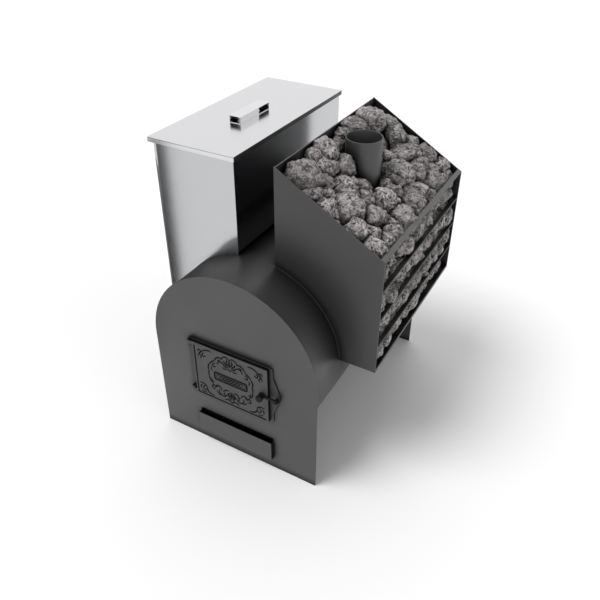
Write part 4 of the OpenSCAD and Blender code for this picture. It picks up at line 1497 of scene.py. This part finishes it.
@dataclass
class WaterTank(SubAssembly):
    """The stainless tank over the left shoulder, with its lid."""

    left: float = -350.0
    right: float = -54.0
    front: float = 144.0
    back: float = 808.0
    lid_out: float = 6.0
    lid_top: float = 1025.0
    lid_lip: float = 15.0
    lip_gap: float = 0.5
    seam: float = 0.9
    seam_ripple: float = 1.2
    seam_inset: float = 0.75
    strip_corner: float = 1.2
    strip_drop: float = 2.0
    strip_section: tuple[Pair, ...] = ((-0.3, -0.6), (0.02, -0.6), (0.06, 0.0), (0.02, 0.6), (-0.3, 0.6))
    fold: Pair = (0.02, 0.5)
    skirt_start: Pair = (328.0, 330.0)
    skirt_end: float = 302.0
    skirt_radius: float = 302.5
    skirt_in: float = 1.0
    skirt_points: int = 60
    strip: tuple[Pair, ...] = ((-5.2, -0.8), (5.6, -0.8), (5.6, 0.8), (-5.2, 0.8))

    @property
    def lid_box(self) -> tuple[Pair, Pair]:
        """The lid's left and right, and its front and back."""
        return ((self.left - self.lid_out, self.right + self.lid_out),
                (self.front - self.lid_out, self.back + self.lid_out))

    def lid_corners(self) -> Piece:
        """Fine seam welds down the folded corners of the lid's edge.

        Returns:
            The four seams as one piece.
        """
        weld = WeldBead(leg=self.seam, ripple=self.seam_ripple)
        low, high = self.lid_top - self.lid_lip + self.lip_gap, self.lid_top - self.seam
        shells = []
        for x, out_x in zip(self.lid_box[0], (-1.0, 1.0)):
            for y, out_y in zip(self.lid_box[1], (-1.0, 1.0)):
                path = spaced([(x, y, low), (x, y, high)], weld.step)
                inset = np.array([out_x, out_y, 0.0]) * self.seam_inset
                shells.append(weld.run(path - inset, (out_x, 0.0, 0.0), (0.0, out_y, 0.0)))
        return mesh_piece("lid_corner_seams", shells, crease=60.0)

    def skirt(self) -> Piece:
        """The front wall's curved lower edge, which reaches down to the round shell.

        Returns:
            The edge's strip.
        """
        reach, radius = self.skirt_start
        angles = np.linspace(math.acos(reach / radius), math.acos(-self.right / self.skirt_end),
                             self.skirt_points)
        out = np.column_stack([-np.cos(angles), np.zeros(len(angles)), np.sin(angles)])
        path = out * self.skirt_radius + np.array([0.0, self.front + self.skirt_in, ARCH])
        shell = sweep(path, out, (0.0, 1.0, 0.0), np.array(self.strip))
        return mesh_piece("tank_front_skirt", [shell], crease=30.0)

    def lid_shade_strips(self) -> Piece:
        """Painted shade as dark strips: a thin line round the lid under its top, standing in for a
        shadowed gap, and a strip over its right lip for its dark reflection.

        Returns:
            Both strips as one piece.
        """
        (x0, x1), (y0, y1) = self.lid_box
        r, z = self.strip_corner, self.lid_top - self.strip_drop
        path = np.array([(x0 + r, y0, z), (x1 - r, y0, z), (x1, y0 + r, z), (x1, y1 - r, z),
                         (x1 - r, y1, z), (x0 + r, y1, z), (x0, y1 - r, z), (x0, y0 + r, z)])
        outs = np.repeat([(0, -1, 0), (1, 0, 0), (0, 1, 0), (-1, 0, 0)], 2, axis=0)
        shade_line = sweep(path, outs, UP, np.array(self.strip_section), closed=True)
        # The strip over the right lip darkens it: a painted dark reflection.
        near, far = self.fold
        fold = box((x1 + near, y0 + r, self.lid_top - self.lid_lip + self.lip_gap),
                   (x1 + far, y1 - r, self.lid_top - r))
        return mesh_piece("lid_edge_shade_strip", [shade_line, fold], crease=30.0)

    def build(self, shop: Paintshop) -> list[Piece]:
        """Dresses the tank's nodes and adds the seams, the lid's dark strips of painted shade and
        the skirt.

        Args:
            shop: The finishes to choose from.

        Returns:
            The new pieces.
        """
        shop.dress(Coat.TANK_SHADED, tank_walls=0.8, tank_saddle=0.0)
        shop.dress(Coat.BRIGHT, tank_drain_socket=0.6, lid_handle=0.7, lid_rivets=0.8)
        shop.dress(Coat.BASKET, tank_rests=0.8)
        shop.dress(Coat.COVER_LIT, tank_lid=0.0)
        return [shop.finish(self.lid_corners(), Body.LID, Slot.STAINLESS, Coat.COVER_LIT),
                shop.finish(self.lid_shade_strips(), Body.LID, Slot.STAINLESS, Coat.SHADE_STRIP),
                shop.finish(self.skirt(), Body.STOVE, Slot.STAINLESS, Coat.TANK_SHADED)]


@dataclass
class StoneBasket(SubAssembly):
    """The sheet-steel basket over the right shoulder."""

    inner: float = 72.0
    outer: float = 415.0
    front: float = 152.0
    back: float = 821.0
    sheet: float = 4.0
    low: float = 426.0
    top: float = 1019.0
    side_top: float = 816.0
    slat: float = 15.0
    slats: int = 3
    wall_start: float = 30.0
    wall_stop: float = 12.0
    tack_ends: Pair = (2.0, 1.5)

    @property
    def inside(self) -> tuple[Pair, Pair]:
        """The inner faces of the end plates, each with the way that it looks."""
        return (self.front + self.sheet, 1.0), (self.back - self.sheet, -1.0)

    def arch_seams(self) -> list[Shell]:
        """The welds where both end plates stand on the round shell.

        Returns:
            Two beads.
        """
        weld = WeldBead(leg=2.0, ripple=2.4)
        start, end = math.acos(self.inner / SHELL), math.asin((self.low - ARCH) / SHELL)
        angles = np.linspace(start, end, int((start - end) * SHELL / weld.step))
        out = np.column_stack([np.cos(angles), np.zeros(len(angles)), np.sin(angles)])
        return [weld.run(out * SHELL + (0.0, y, ARCH), out, (0.0, way, 0.0))
                for y, way in ((self.front, -1.0), (self.back, 1.0))]

    def wall_seams(self) -> list[Shell]:
        """The welds at the inner wall's foot and up its two upright corners.

        Returns:
            Three beads.
        """
        weld = WeldBead(leg=1.8, ripple=2.4)
        rise = math.sqrt(SHELL**2 - self.inner**2)
        foot, corner = ARCH + rise, self.inner + self.sheet
        path = spaced([(self.inner, self.front + self.sheet, foot),
                       (self.inner, self.back - self.sheet, foot)], weld.step)
        shells = [weld.run(path, UP, unit((-rise, 0.0, self.inner)))]
        for y, way in self.inside:
            path = spaced([(corner, y, foot + self.wall_start),
                           (corner, y, self.top - self.wall_stop)], weld.step)
            shells.append(weld.run(path, (1.0, 0.0, 0.0), (0.0, way, 0.0)))
        return shells

    def slat_tacks(self) -> list[Shell]:
        """Short welds that hold each slat's ends to the end plates.

        Returns:
            A bead over and under each end.
        """
        weld = WeldBead(leg=1.6, ripple=2.0)
        pitch = (self.side_top - self.low) / (self.slats + 1)
        start = self.outer - self.slat + self.tack_ends[0]
        end = self.outer - self.tack_ends[1]
        shells = []
        for i in range(1, self.slats + 1):
            z = self.low + i * pitch
            for y, way in self.inside:
                for height, up in ((z, 1.0), (z - self.sheet, -1.0)):
                    path = spaced([(start, y, height), (end, y, height)], weld.step)
                    shells.append(weld.run(path, (0.0, 0.0, up), (0.0, way, 0.0)))
        return shells

    def build(self, shop: Paintshop) -> list[Piece]:
        """Dresses the basket's nodes and adds its welds.

        Args:
            shop: The finishes to choose from.

        Returns:
            The new pieces.
        """
        shop.dress(Coat.BASKET, basket_front_plate=0.6, basket_rear_plate=0.6,
                   basket_inner_wall=0.6, basket_floor=0.6, basket_slats=0.8)
        shop.dress(Coat.LIT_RIM, basket_top_rail=0.8)
        shells = self.arch_seams() + self.wall_seams() + self.slat_tacks()
        return [shop.finish(mesh_piece("basket_welds", shells, crease=60.0), Body.STOVE,
                            Slot.BASKET_PAINT, Coat.WELD)]


# Stones on top: middle x, y, z, then half sizes across and high, in millimetres.
TOP_STONES = (
    (120, 229, 979, 46, 37), (108, 388, 995, 34, 33), (96, 337, 998, 22, 22),
    (133, 347, 963, 31, 28), (158, 403, 945, 30, 37), (151, 288, 942, 27, 23),
    (188, 340, 916, 44, 31), (215, 396, 883, 39, 32), (161, 197, 955, 25, 19),
    (102, 490, 979, 22, 20), (96, 525, 998, 22, 20), (105, 579, 1006, 32, 27),
    (116, 695, 996, 43, 35), (143, 782, 964, 36, 36), (190, 749, 959, 29, 29),
    (173, 765, 915, 31, 22), (225, 788, 919, 32, 26), (238, 723, 889, 44, 30),
    (288, 783, 889, 34, 34), (345, 791, 865, 25, 25), (211, 626, 911, 23, 19),
    (271, 584, 869, 45, 46), (268, 493, 885, 15, 15), (307, 656, 857, 28, 31),
    (348, 689, 834, 33, 30), (322, 749, 858, 30, 24), (364, 786, 824, 27, 34),
    (337, 572, 841, 38, 24), (376, 752, 788, 24, 22), (289, 415, 865, 37, 31),
    (241, 272, 886, 48, 37), (256, 356, 884, 28, 25), (305, 314, 862, 33, 27),
    (303, 208, 875, 27, 23), (332, 345, 827, 31, 25), (325, 238, 844, 31, 25),
    (362, 411, 824, 34, 34), (369, 314, 829, 26, 21), (362, 200, 829, 31, 25),
    (374, 322, 785, 26, 25), (348, 501, 836, 35, 31), (369, 617, 801, 31, 27),
    (373, 525, 795, 27, 22), (380, 248, 783, 20, 17), (375, 696, 790, 25, 22),
    (180, 252, 927, 23, 20), (246, 174, 886, 19, 16),
)


@dataclass(frozen=True)
class Stone:
    """One stone: its middle and its half sizes across, deep and high, in millimetres."""

    x: float
    y: float
    z: float
    across: float
    deep: float
    high: float
    turn: Triple = (0.0, 0.0, 0.0)

    @property
    def radius(self) -> float:
        """The radius of the ball of the same volume."""
        return (self.across * self.deep * self.high) ** (1 / 3)


@dataclass
class StonePile(SubAssembly):
    """The stones in the basket, those on top laid one by one and the rest poured under them."""

    inner: float = 76.3
    outer: float = 414.2
    front: float = 156.3
    back: float = 816.7
    tray: float = 430.3
    lip: float = 439.0
    lip_inside: float = 411.0
    seat: float = 297.3
    flue: Pair = (190.0, 486.0)
    flue_radius: float = 57.9
    crest: Pair = (72.0, 1019.0)
    fall: float = 203.0 / 343.0
    slat_inside: float = 400.0
    slat_tops: tuple[float, ...] = (523.5, 621.0, 718.5)
    slat_sheet: float = 4.0
    rail_inside: float = 398.0
    rail_depth: float = 17.0
    facing: float = 29.185
    crowding: float = 1.32
    rear: float = 735.0
    sinking: Pair = (15.0, 36.0)
    poured: int = 160
    sizes: tuple[float, ...] = (28.0, 35.0, 42.0, 48.0, 54.0)
    odds: tuple[float, ...] = (0.15, 0.15, 0.25, 0.25, 0.2)
    size_drift: Pair = (0.94, 1.06)
    shape_drift: Pair = (0.88, 1.12)
    pour: tuple[Pair, ...] = ((105.0, 385.0), (190.0, 785.0), (470.0, 900.0))
    cover: float = 40.0
    rounds: int = 700
    packing: float = 0.88
    pushes: Pair = (0.3, 0.6)
    pull: Triple = (0.2, 0.0, -0.25)
    squeeze: float = 0.97
    rim_share: float = 0.92
    core: float = 0.90
    broad: Pair = (1.1, 0.22)
    knobs: Pair = (1.5, 0.26)
    warts: Pair = (5.5, 0.05)
    noise_reach: float = 90.0
    details: tuple[int, int] = (5, 3)
    heap_x: float = 247.5
    heap_z: float = 690.0
    heap_y: Pair = (428.5, 543.5)
    skin_depth: float = 34.0
    skin_side: float = 385.0
    seed: int = 11

    def slope(self, x: np.ndarray) -> np.ndarray:
        """Height of the basket's sloping rim over a place."""
        return self.crest[1] - (x - self.crest[0]) * self.fall

    def laid(self) -> list[Stone]:
        """The stones on top, turned to the front left as they lie.

        Returns:
            The stones, crowded and sunk into the pile.
        """
        facing = (0.0, 0.0, math.radians(self.facing))
        k = self.crowding
        return [Stone(x, y, z - self.sinking[y > self.rear], a * k, (a + b) / 2 * k, b * k, facing)
                for x, y, z, a, b in TOP_STONES]

    @staticmethod
    def pushed(p: np.ndarray, r: np.ndarray, low_x: float, low_z: float, high_z: float) -> None:
        """Pushes balls off a bar along the basket's open side.

        Args:
            p: The balls' middles, changed in place.
            r: Their radii.
            low_x: The bar's inner edge.
            low_z: The bar's underside.
            high_z: The bar's top.
        """
        gap_x = np.maximum(p[:, 0], low_x) - p[:, 0]
        gap_z = np.clip(p[:, 2], low_z, high_z) - p[:, 2]
        far = np.hypot(gap_x, gap_z)
        share = np.where(far < r, (r - far) / np.maximum(far, 1e-6), 0.0)
        p[:, 0] -= share * gap_x
        p[:, 2] -= share * gap_z

    def off_shell(self, p: np.ndarray, r: object) -> None:
        """Lifts balls, or points with a radius of 0, off the round shell.

        Args:
            p: Their middles, changed in place.
            r: Their radii.
        """
        scale = np.maximum(1.0, (self.seat + r) / np.hypot(p[:, 0], p[:, 2] - ARCH))
        p[:, 0] *= scale
        p[:, 2] = ARCH + (p[:, 2] - ARCH) * scale

    def off_pipe(self, p: np.ndarray, r: object) -> None:
        """Moves balls, or points with a radius of 0, out of the flue pipe.

        Args:
            p: Their middles, changed in place.
            r: Their radii.
        """
        gap = p[:, :2] - np.array(self.flue)
        away = np.maximum(1.0, (self.flue_radius + r) / np.linalg.norm(gap, axis=1))
        p[:, :2] = np.array(self.flue) + gap * away[:, None]

    def held(self, p: np.ndarray, r: np.ndarray) -> None:
        """Keeps balls in the basket, off the round shell and the pipe.

        Args:
            p: The balls' middles, changed in place.
            r: Their radii.
        """
        self.off_shell(p, r)
        self.off_pipe(p, r)
        steep = math.hypot(self.fall, 1.0)
        over = np.maximum(0.0, (p[:, 2] - self.slope(p[:, 0])) / steep + self.rim_share * r)
        p[:, 0] -= over * self.fall / steep
        p[:, 2] -= over / steep
        for top in self.slat_tops:
            self.pushed(p, r, self.slat_inside, top - self.slat_sheet, top)
        rail = float(self.slope(np.array(self.rail_inside)))
        self.pushed(p, r, self.rail_inside, rail - self.rail_depth, rail)
        side = np.where(p[:, 2] - r < self.lip, self.lip_inside, self.outer)
        p[:, 0] = np.clip(p[:, 0], self.inner + r, side - r)
        p[:, 1] = np.clip(p[:, 1], self.front + r, self.back - r)
        p[:, 2] = np.maximum(p[:, 2], self.tray + r)

    def filled(self, laid: list[Stone], chance: np.random.Generator) -> list[Stone]:
        """Pours stones under those on top and lets them settle.

        Args:
            laid: The stones on top, which stay where they are.
            chance: The seeded source of sizes and places.

        Returns:
            The poured stones.
        """
        count = self.poured
        sizes = chance.choice(self.sizes, count, p=self.odds)
        r = sizes * chance.uniform(*self.size_drift, count)
        p = np.column_stack([chance.uniform(low, high, count) for low, high in self.pour])
        p[:, 2] = np.minimum(p[:, 2], self.slope(p[:, 0]) - self.cover)
        fixed = np.array([(s.x, s.y, s.z) for s in laid])
        radii = np.concatenate([r, [s.radius for s in laid]])
        share = np.where(np.arange(len(radii)) < count, *self.pushes)
        own = np.arange(count)
        for _ in range(self.rounds):
            gap = p[:, None] - np.vstack([p, fixed])[None]
            far = np.linalg.norm(gap, axis=2) + 1e-9
            over = np.maximum(0.0, self.packing * (r[:, None] + radii[None]) - far)
            over[own, own] = 0.0
            p += (gap * (over * share / far)[:, :, None]).sum(axis=1)
            p += np.array(self.pull)
            self.held(p, r * self.squeeze)
        stones = []
        for (x, y, z), radius in zip(p, r):
            shape = chance.uniform(*self.shape_drift, 3)
            turn = chance.uniform(0, 2 * math.pi, 3)
            stones.append(Stone(x, y, z, *(radius * shape / np.cbrt(shape.prod())), tuple(turn)))
        return stones

    @staticmethod
    def ball(detail: int) -> Shell:
        """A unit ball of even triangles.

        Args:
            detail: How often its faces are divided.

        Returns:
            The ball's points and faces.
        """
        work = bmesh.new()
        bmesh.ops.create_icosphere(work, subdivisions=detail, radius=1.0)
        points = np.array([v.co[:] for v in work.verts])
        faces = [tuple(v.index for v in f.verts) for f in work.faces]
        work.free()
        return points, faces

    def swell(self, point: np.ndarray, start: Vector) -> float:
        """How far the stone's skin stands out at a point of the unit ball.

        Args:
            point: The point.
            start: The stone's own place in the noise.

        Returns:
            The distance from the stone's middle, about 1.
        """
        v, bumps = Vector(point), []
        for (pitch, height), place in ((self.knobs, start), (self.warts, -start)):
            bumps.append(height * noise.turbulence(v * pitch + place, 2, True,
                                                   noise_basis="PERLIN_ORIGINAL"))
        pitch, height = self.broad
        return self.core + height * noise.noise(v * pitch + start) + sum(bumps)

    def rock(self, stone: Stone, ball: Shell, chance: np.random.Generator) -> Shell:
        """One lumpy stone, kept inside the basket.

        Args:
            stone: Its place and size.
            ball: The unit ball to shape.
            chance: The seeded source of its form.

        Returns:
            The stone's shell in stove millimetres.
        """
        points, faces = ball
        start = Vector(chance.uniform(0, self.noise_reach, 3))
        swell = np.array([self.swell(point, start) for point in points])
        rough = points * swell[:, None] * np.array([stone.across, stone.deep, stone.high])
        turn = np.array(Euler(stone.turn).to_matrix())
        skin = rough @ turn.T + np.array([stone.x, stone.y, stone.z])
        skin[:, 0] = np.clip(skin[:, 0], self.inner, self.outer)
        skin[:, 1] = np.clip(skin[:, 1], self.front, self.back)
        skin[:, 2] = np.maximum(skin[:, 2], self.tray)
        self.off_pipe(skin, 0.0)
        self.off_shell(skin, 0.0)
        return skin, faces

    def heap(self, stone: Stone) -> str:
        """The name of the frame's node that stands where the stone lies.

        Args:
            stone: The stone.

        Returns:
            The node's name.
        """
        if stone.x > self.heap_x:
            return "stones_outer_top" if stone.z > self.heap_z else "stones_outer_low"
        if stone.y < self.heap_y[0]:
            return "stones_front"
        return "stones_rear" if stone.y > self.heap_y[1] else "stones_by_flue"

    def shown(self, stone: Stone) -> bool:
        """True for a stone that lies by the top or by the open side."""
        high = stone.z + stone.radius > float(self.slope(np.array(stone.x))) - self.skin_depth
        return high or stone.x + stone.radius > self.skin_side

    def build(self, shop: Paintshop) -> list[Piece]:
        """Shapes every stone and sorts them into the frame's heaps.

        Args:
            shop: The finishes to choose from.

        Returns:
            One piece for each heap.
        """
        chance = np.random.default_rng(self.seed)
        laid = self.laid()
        stones = laid + self.filled(laid, chance)
        fine, plain = (self.ball(detail) for detail in self.details)
        heaps: dict[str, list[Shell]] = {}
        for stone in stones:
            ball = fine if self.shown(stone) else plain
            heaps.setdefault(self.heap(stone), []).append(self.rock(stone, ball, chance))
        return [shop.finish(mesh_piece(name + "_rough", shells, crease=180.0), Body.STOVE,
                            Slot.SAUNA_STONE, Coat.ROCK, name)
                for name, shells in sorted(heaps.items())]


# ---------------------------------------------------------------- studio


@dataclass(frozen=True)
class Lamp:
    """A wide soft lamp far off.

    Its place is given in degrees round from the right and over the floor, and its share is
    the part of a white floor's light that it gives.
    """

    name: str
    around: float
    above: float
    share: float
    spread: float = 40.0

    def hang(self) -> None:
        """Hangs the lamp so that it points at the stove."""
        data = bpy.data.lights.new(self.name, "SUN")
        above, around = math.radians(self.above), math.radians(self.around)
        data.energy = math.pi * self.share / math.sin(above)
        data.angle = math.radians(self.spread)
        place = Vector((math.cos(above) * math.cos(around), math.cos(above) * math.sin(around),
                        math.sin(above)))
        lamp = added(self.name, data)
        lamp.rotation_mode = "QUATERNION"
        lamp.rotation_quaternion = (-place).to_track_quat("-Z", "Y")
        lamp.visible_glossy = False


@dataclass
class Studio:
    """Floor, light and camera, its lengths in metres."""

    eye: Triple = (0.88064, -1.58849, 1.73244)
    yaw: float = 29.185
    pitch: float = -33.720
    roll: float = 0.2555
    lens: float = 37.946
    sensor: float = 36.0
    shift: float = -29.0 / 600.0
    far: float = 200.0
    lamps: tuple[Lamp, ...] = (Lamp("key_light", 225.0, 60.0, 0.51, 30.0),
                               Lamp("back_light", 112.0, 60.0, 0.13),
                               Lamp("right_light", 0.0, 35.0, 0.05))
    sky: float = 0.41
    floor_half: float = 30.0
    floor_white: float = 0.96
    card_x: float = -0.62
    card_runs: tuple[Pair, ...] = ((-0.596, -0.38), (-0.345, 0.75))
    card_height: float = 0.88
    card_greys: Pair = (2.0, 100.0)

    def camera(self) -> None:
        """Puts the camera where the photograph was taken from."""
        data = bpy.data.cameras.new("camera")
        data.lens, data.sensor_width, data.shift_y = self.lens, self.sensor, self.shift
        data.clip_end = self.far
        camera = added("camera", data)
        yaw, pitch, roll = (math.radians(v) for v in (self.yaw, self.pitch, self.roll))
        ahead = Vector((-math.sin(yaw) * math.cos(pitch), math.cos(yaw) * math.cos(pitch),
                        math.sin(pitch)))
        level = ahead.cross(Vector(UP)).normalized()
        over = level.cross(ahead)
        right = level * math.cos(roll) + over * math.sin(roll)
        up = over * math.cos(roll) - level * math.sin(roll)
        turn = Matrix((right, up, -ahead)).transposed()
        camera.matrix_world = Matrix.Translation(Vector(self.eye)) @ turn.to_4x4()
        bpy.context.scene.camera = camera

    def sky_light(self) -> None:
        """A plain white surrounding, dimmer as light than as background or in a mirror."""
        world = bpy.data.worlds.new("studio")
        world.use_nodes = True
        bpy.context.scene.world = world
        wires = Wiring(world.node_tree)
        rays = wires.add("ShaderNodeLightPath").outputs
        seen = wires.math("MAXIMUM", rays["Is Camera Ray"], wires.math(
            "MAXIMUM", rays["Is Glossy Ray"], rays["Is Transmission Ray"]))
        back = world.node_tree.nodes["Background"].inputs
        back["Color"].default_value = (1.0, 1.0, 1.0, 1.0)
        wires.put(wires.spread(seen, 0.0, 1.0, self.sky, 1.0), back["Strength"])

    @staticmethod
    def sheet(name: str, corners: list[Triple]) -> tuple[Piece, Shading]:
        """A flat dull sheet that isn't part of the stove.

        Args:
            name: Its name.
            corners: Its corners in metres.

        Returns:
            The sheet and the wiring of its material.
        """
        mesh = bpy.data.meshes.new(name)
        mesh.from_pydata(corners, [], [(0, 1, 2, 3)])
        mesh.materials.append(bpy.data.materials.new(name))
        wires = Shading(mesh.materials[0])
        wires.set(Specular_IOR_Level=0.0)
        return added(name, mesh), wires

    def floor(self) -> None:
        """A wide white floor that keeps the object's shadow."""
        h, white = self.floor_half, self.floor_white
        piece, wires = self.sheet("studio_floor", [(-h, -h, 0), (h, -h, 0), (h, h, 0), (-h, h, 0)])
        wires.set(Base_Color=(white, white, white, 1.0), Roughness=1.0)

    def cards(self) -> None:
        """Dark cards that only the bright metal mirrors."""
        x, top = self.card_x, self.card_height
        for i, (y0, y1) in enumerate(self.card_runs):
            card, wires = self.sheet(f"studio_card_{i}", [
                (x, y0, 0), (x, y1, 0), (x, y1, top), (x, y0, top)])
            place = wires.add("ShaderNodeTexCoord").outputs["Generated"]
            height = wires.add("ShaderNodeSeparateXYZ", {0: place}).outputs["Z"]
            low, high = (toned((grey, grey, grey)) for grey in self.card_greys)
            wires.set(Base_Color=wires.mix(height, low, high))
            card.visible_camera = card.visible_diffuse = card.visible_shadow = False

    def build(self) -> None:
        """Sets up the whole studio."""
        bpy.context.scene.view_settings.view_transform = "Standard"
        self.camera()
        self.sky_light()
        self.floor()
        self.cards()
        for lamp in self.lamps:
            lamp.hang()


def main() -> None:
    """Builds the studio and every sub-assembly, and reports each piece."""
    logging.basicConfig(level=logging.INFO, format="%(name)s: %(message)s")
    Studio().build()
    shop = Paintshop()
    parts = (StoveBody(), Flue(), FireDoor(), AshDrawer(), WaterTank(), StoneBasket(), StonePile())
    for part in parts:
        for piece in part.build(shop):
            LOG.info("%s: %s, %d faces", type(part).__name__, piece.name, len(piece.data.polygons))


if __name__ == "__main__":
    main()
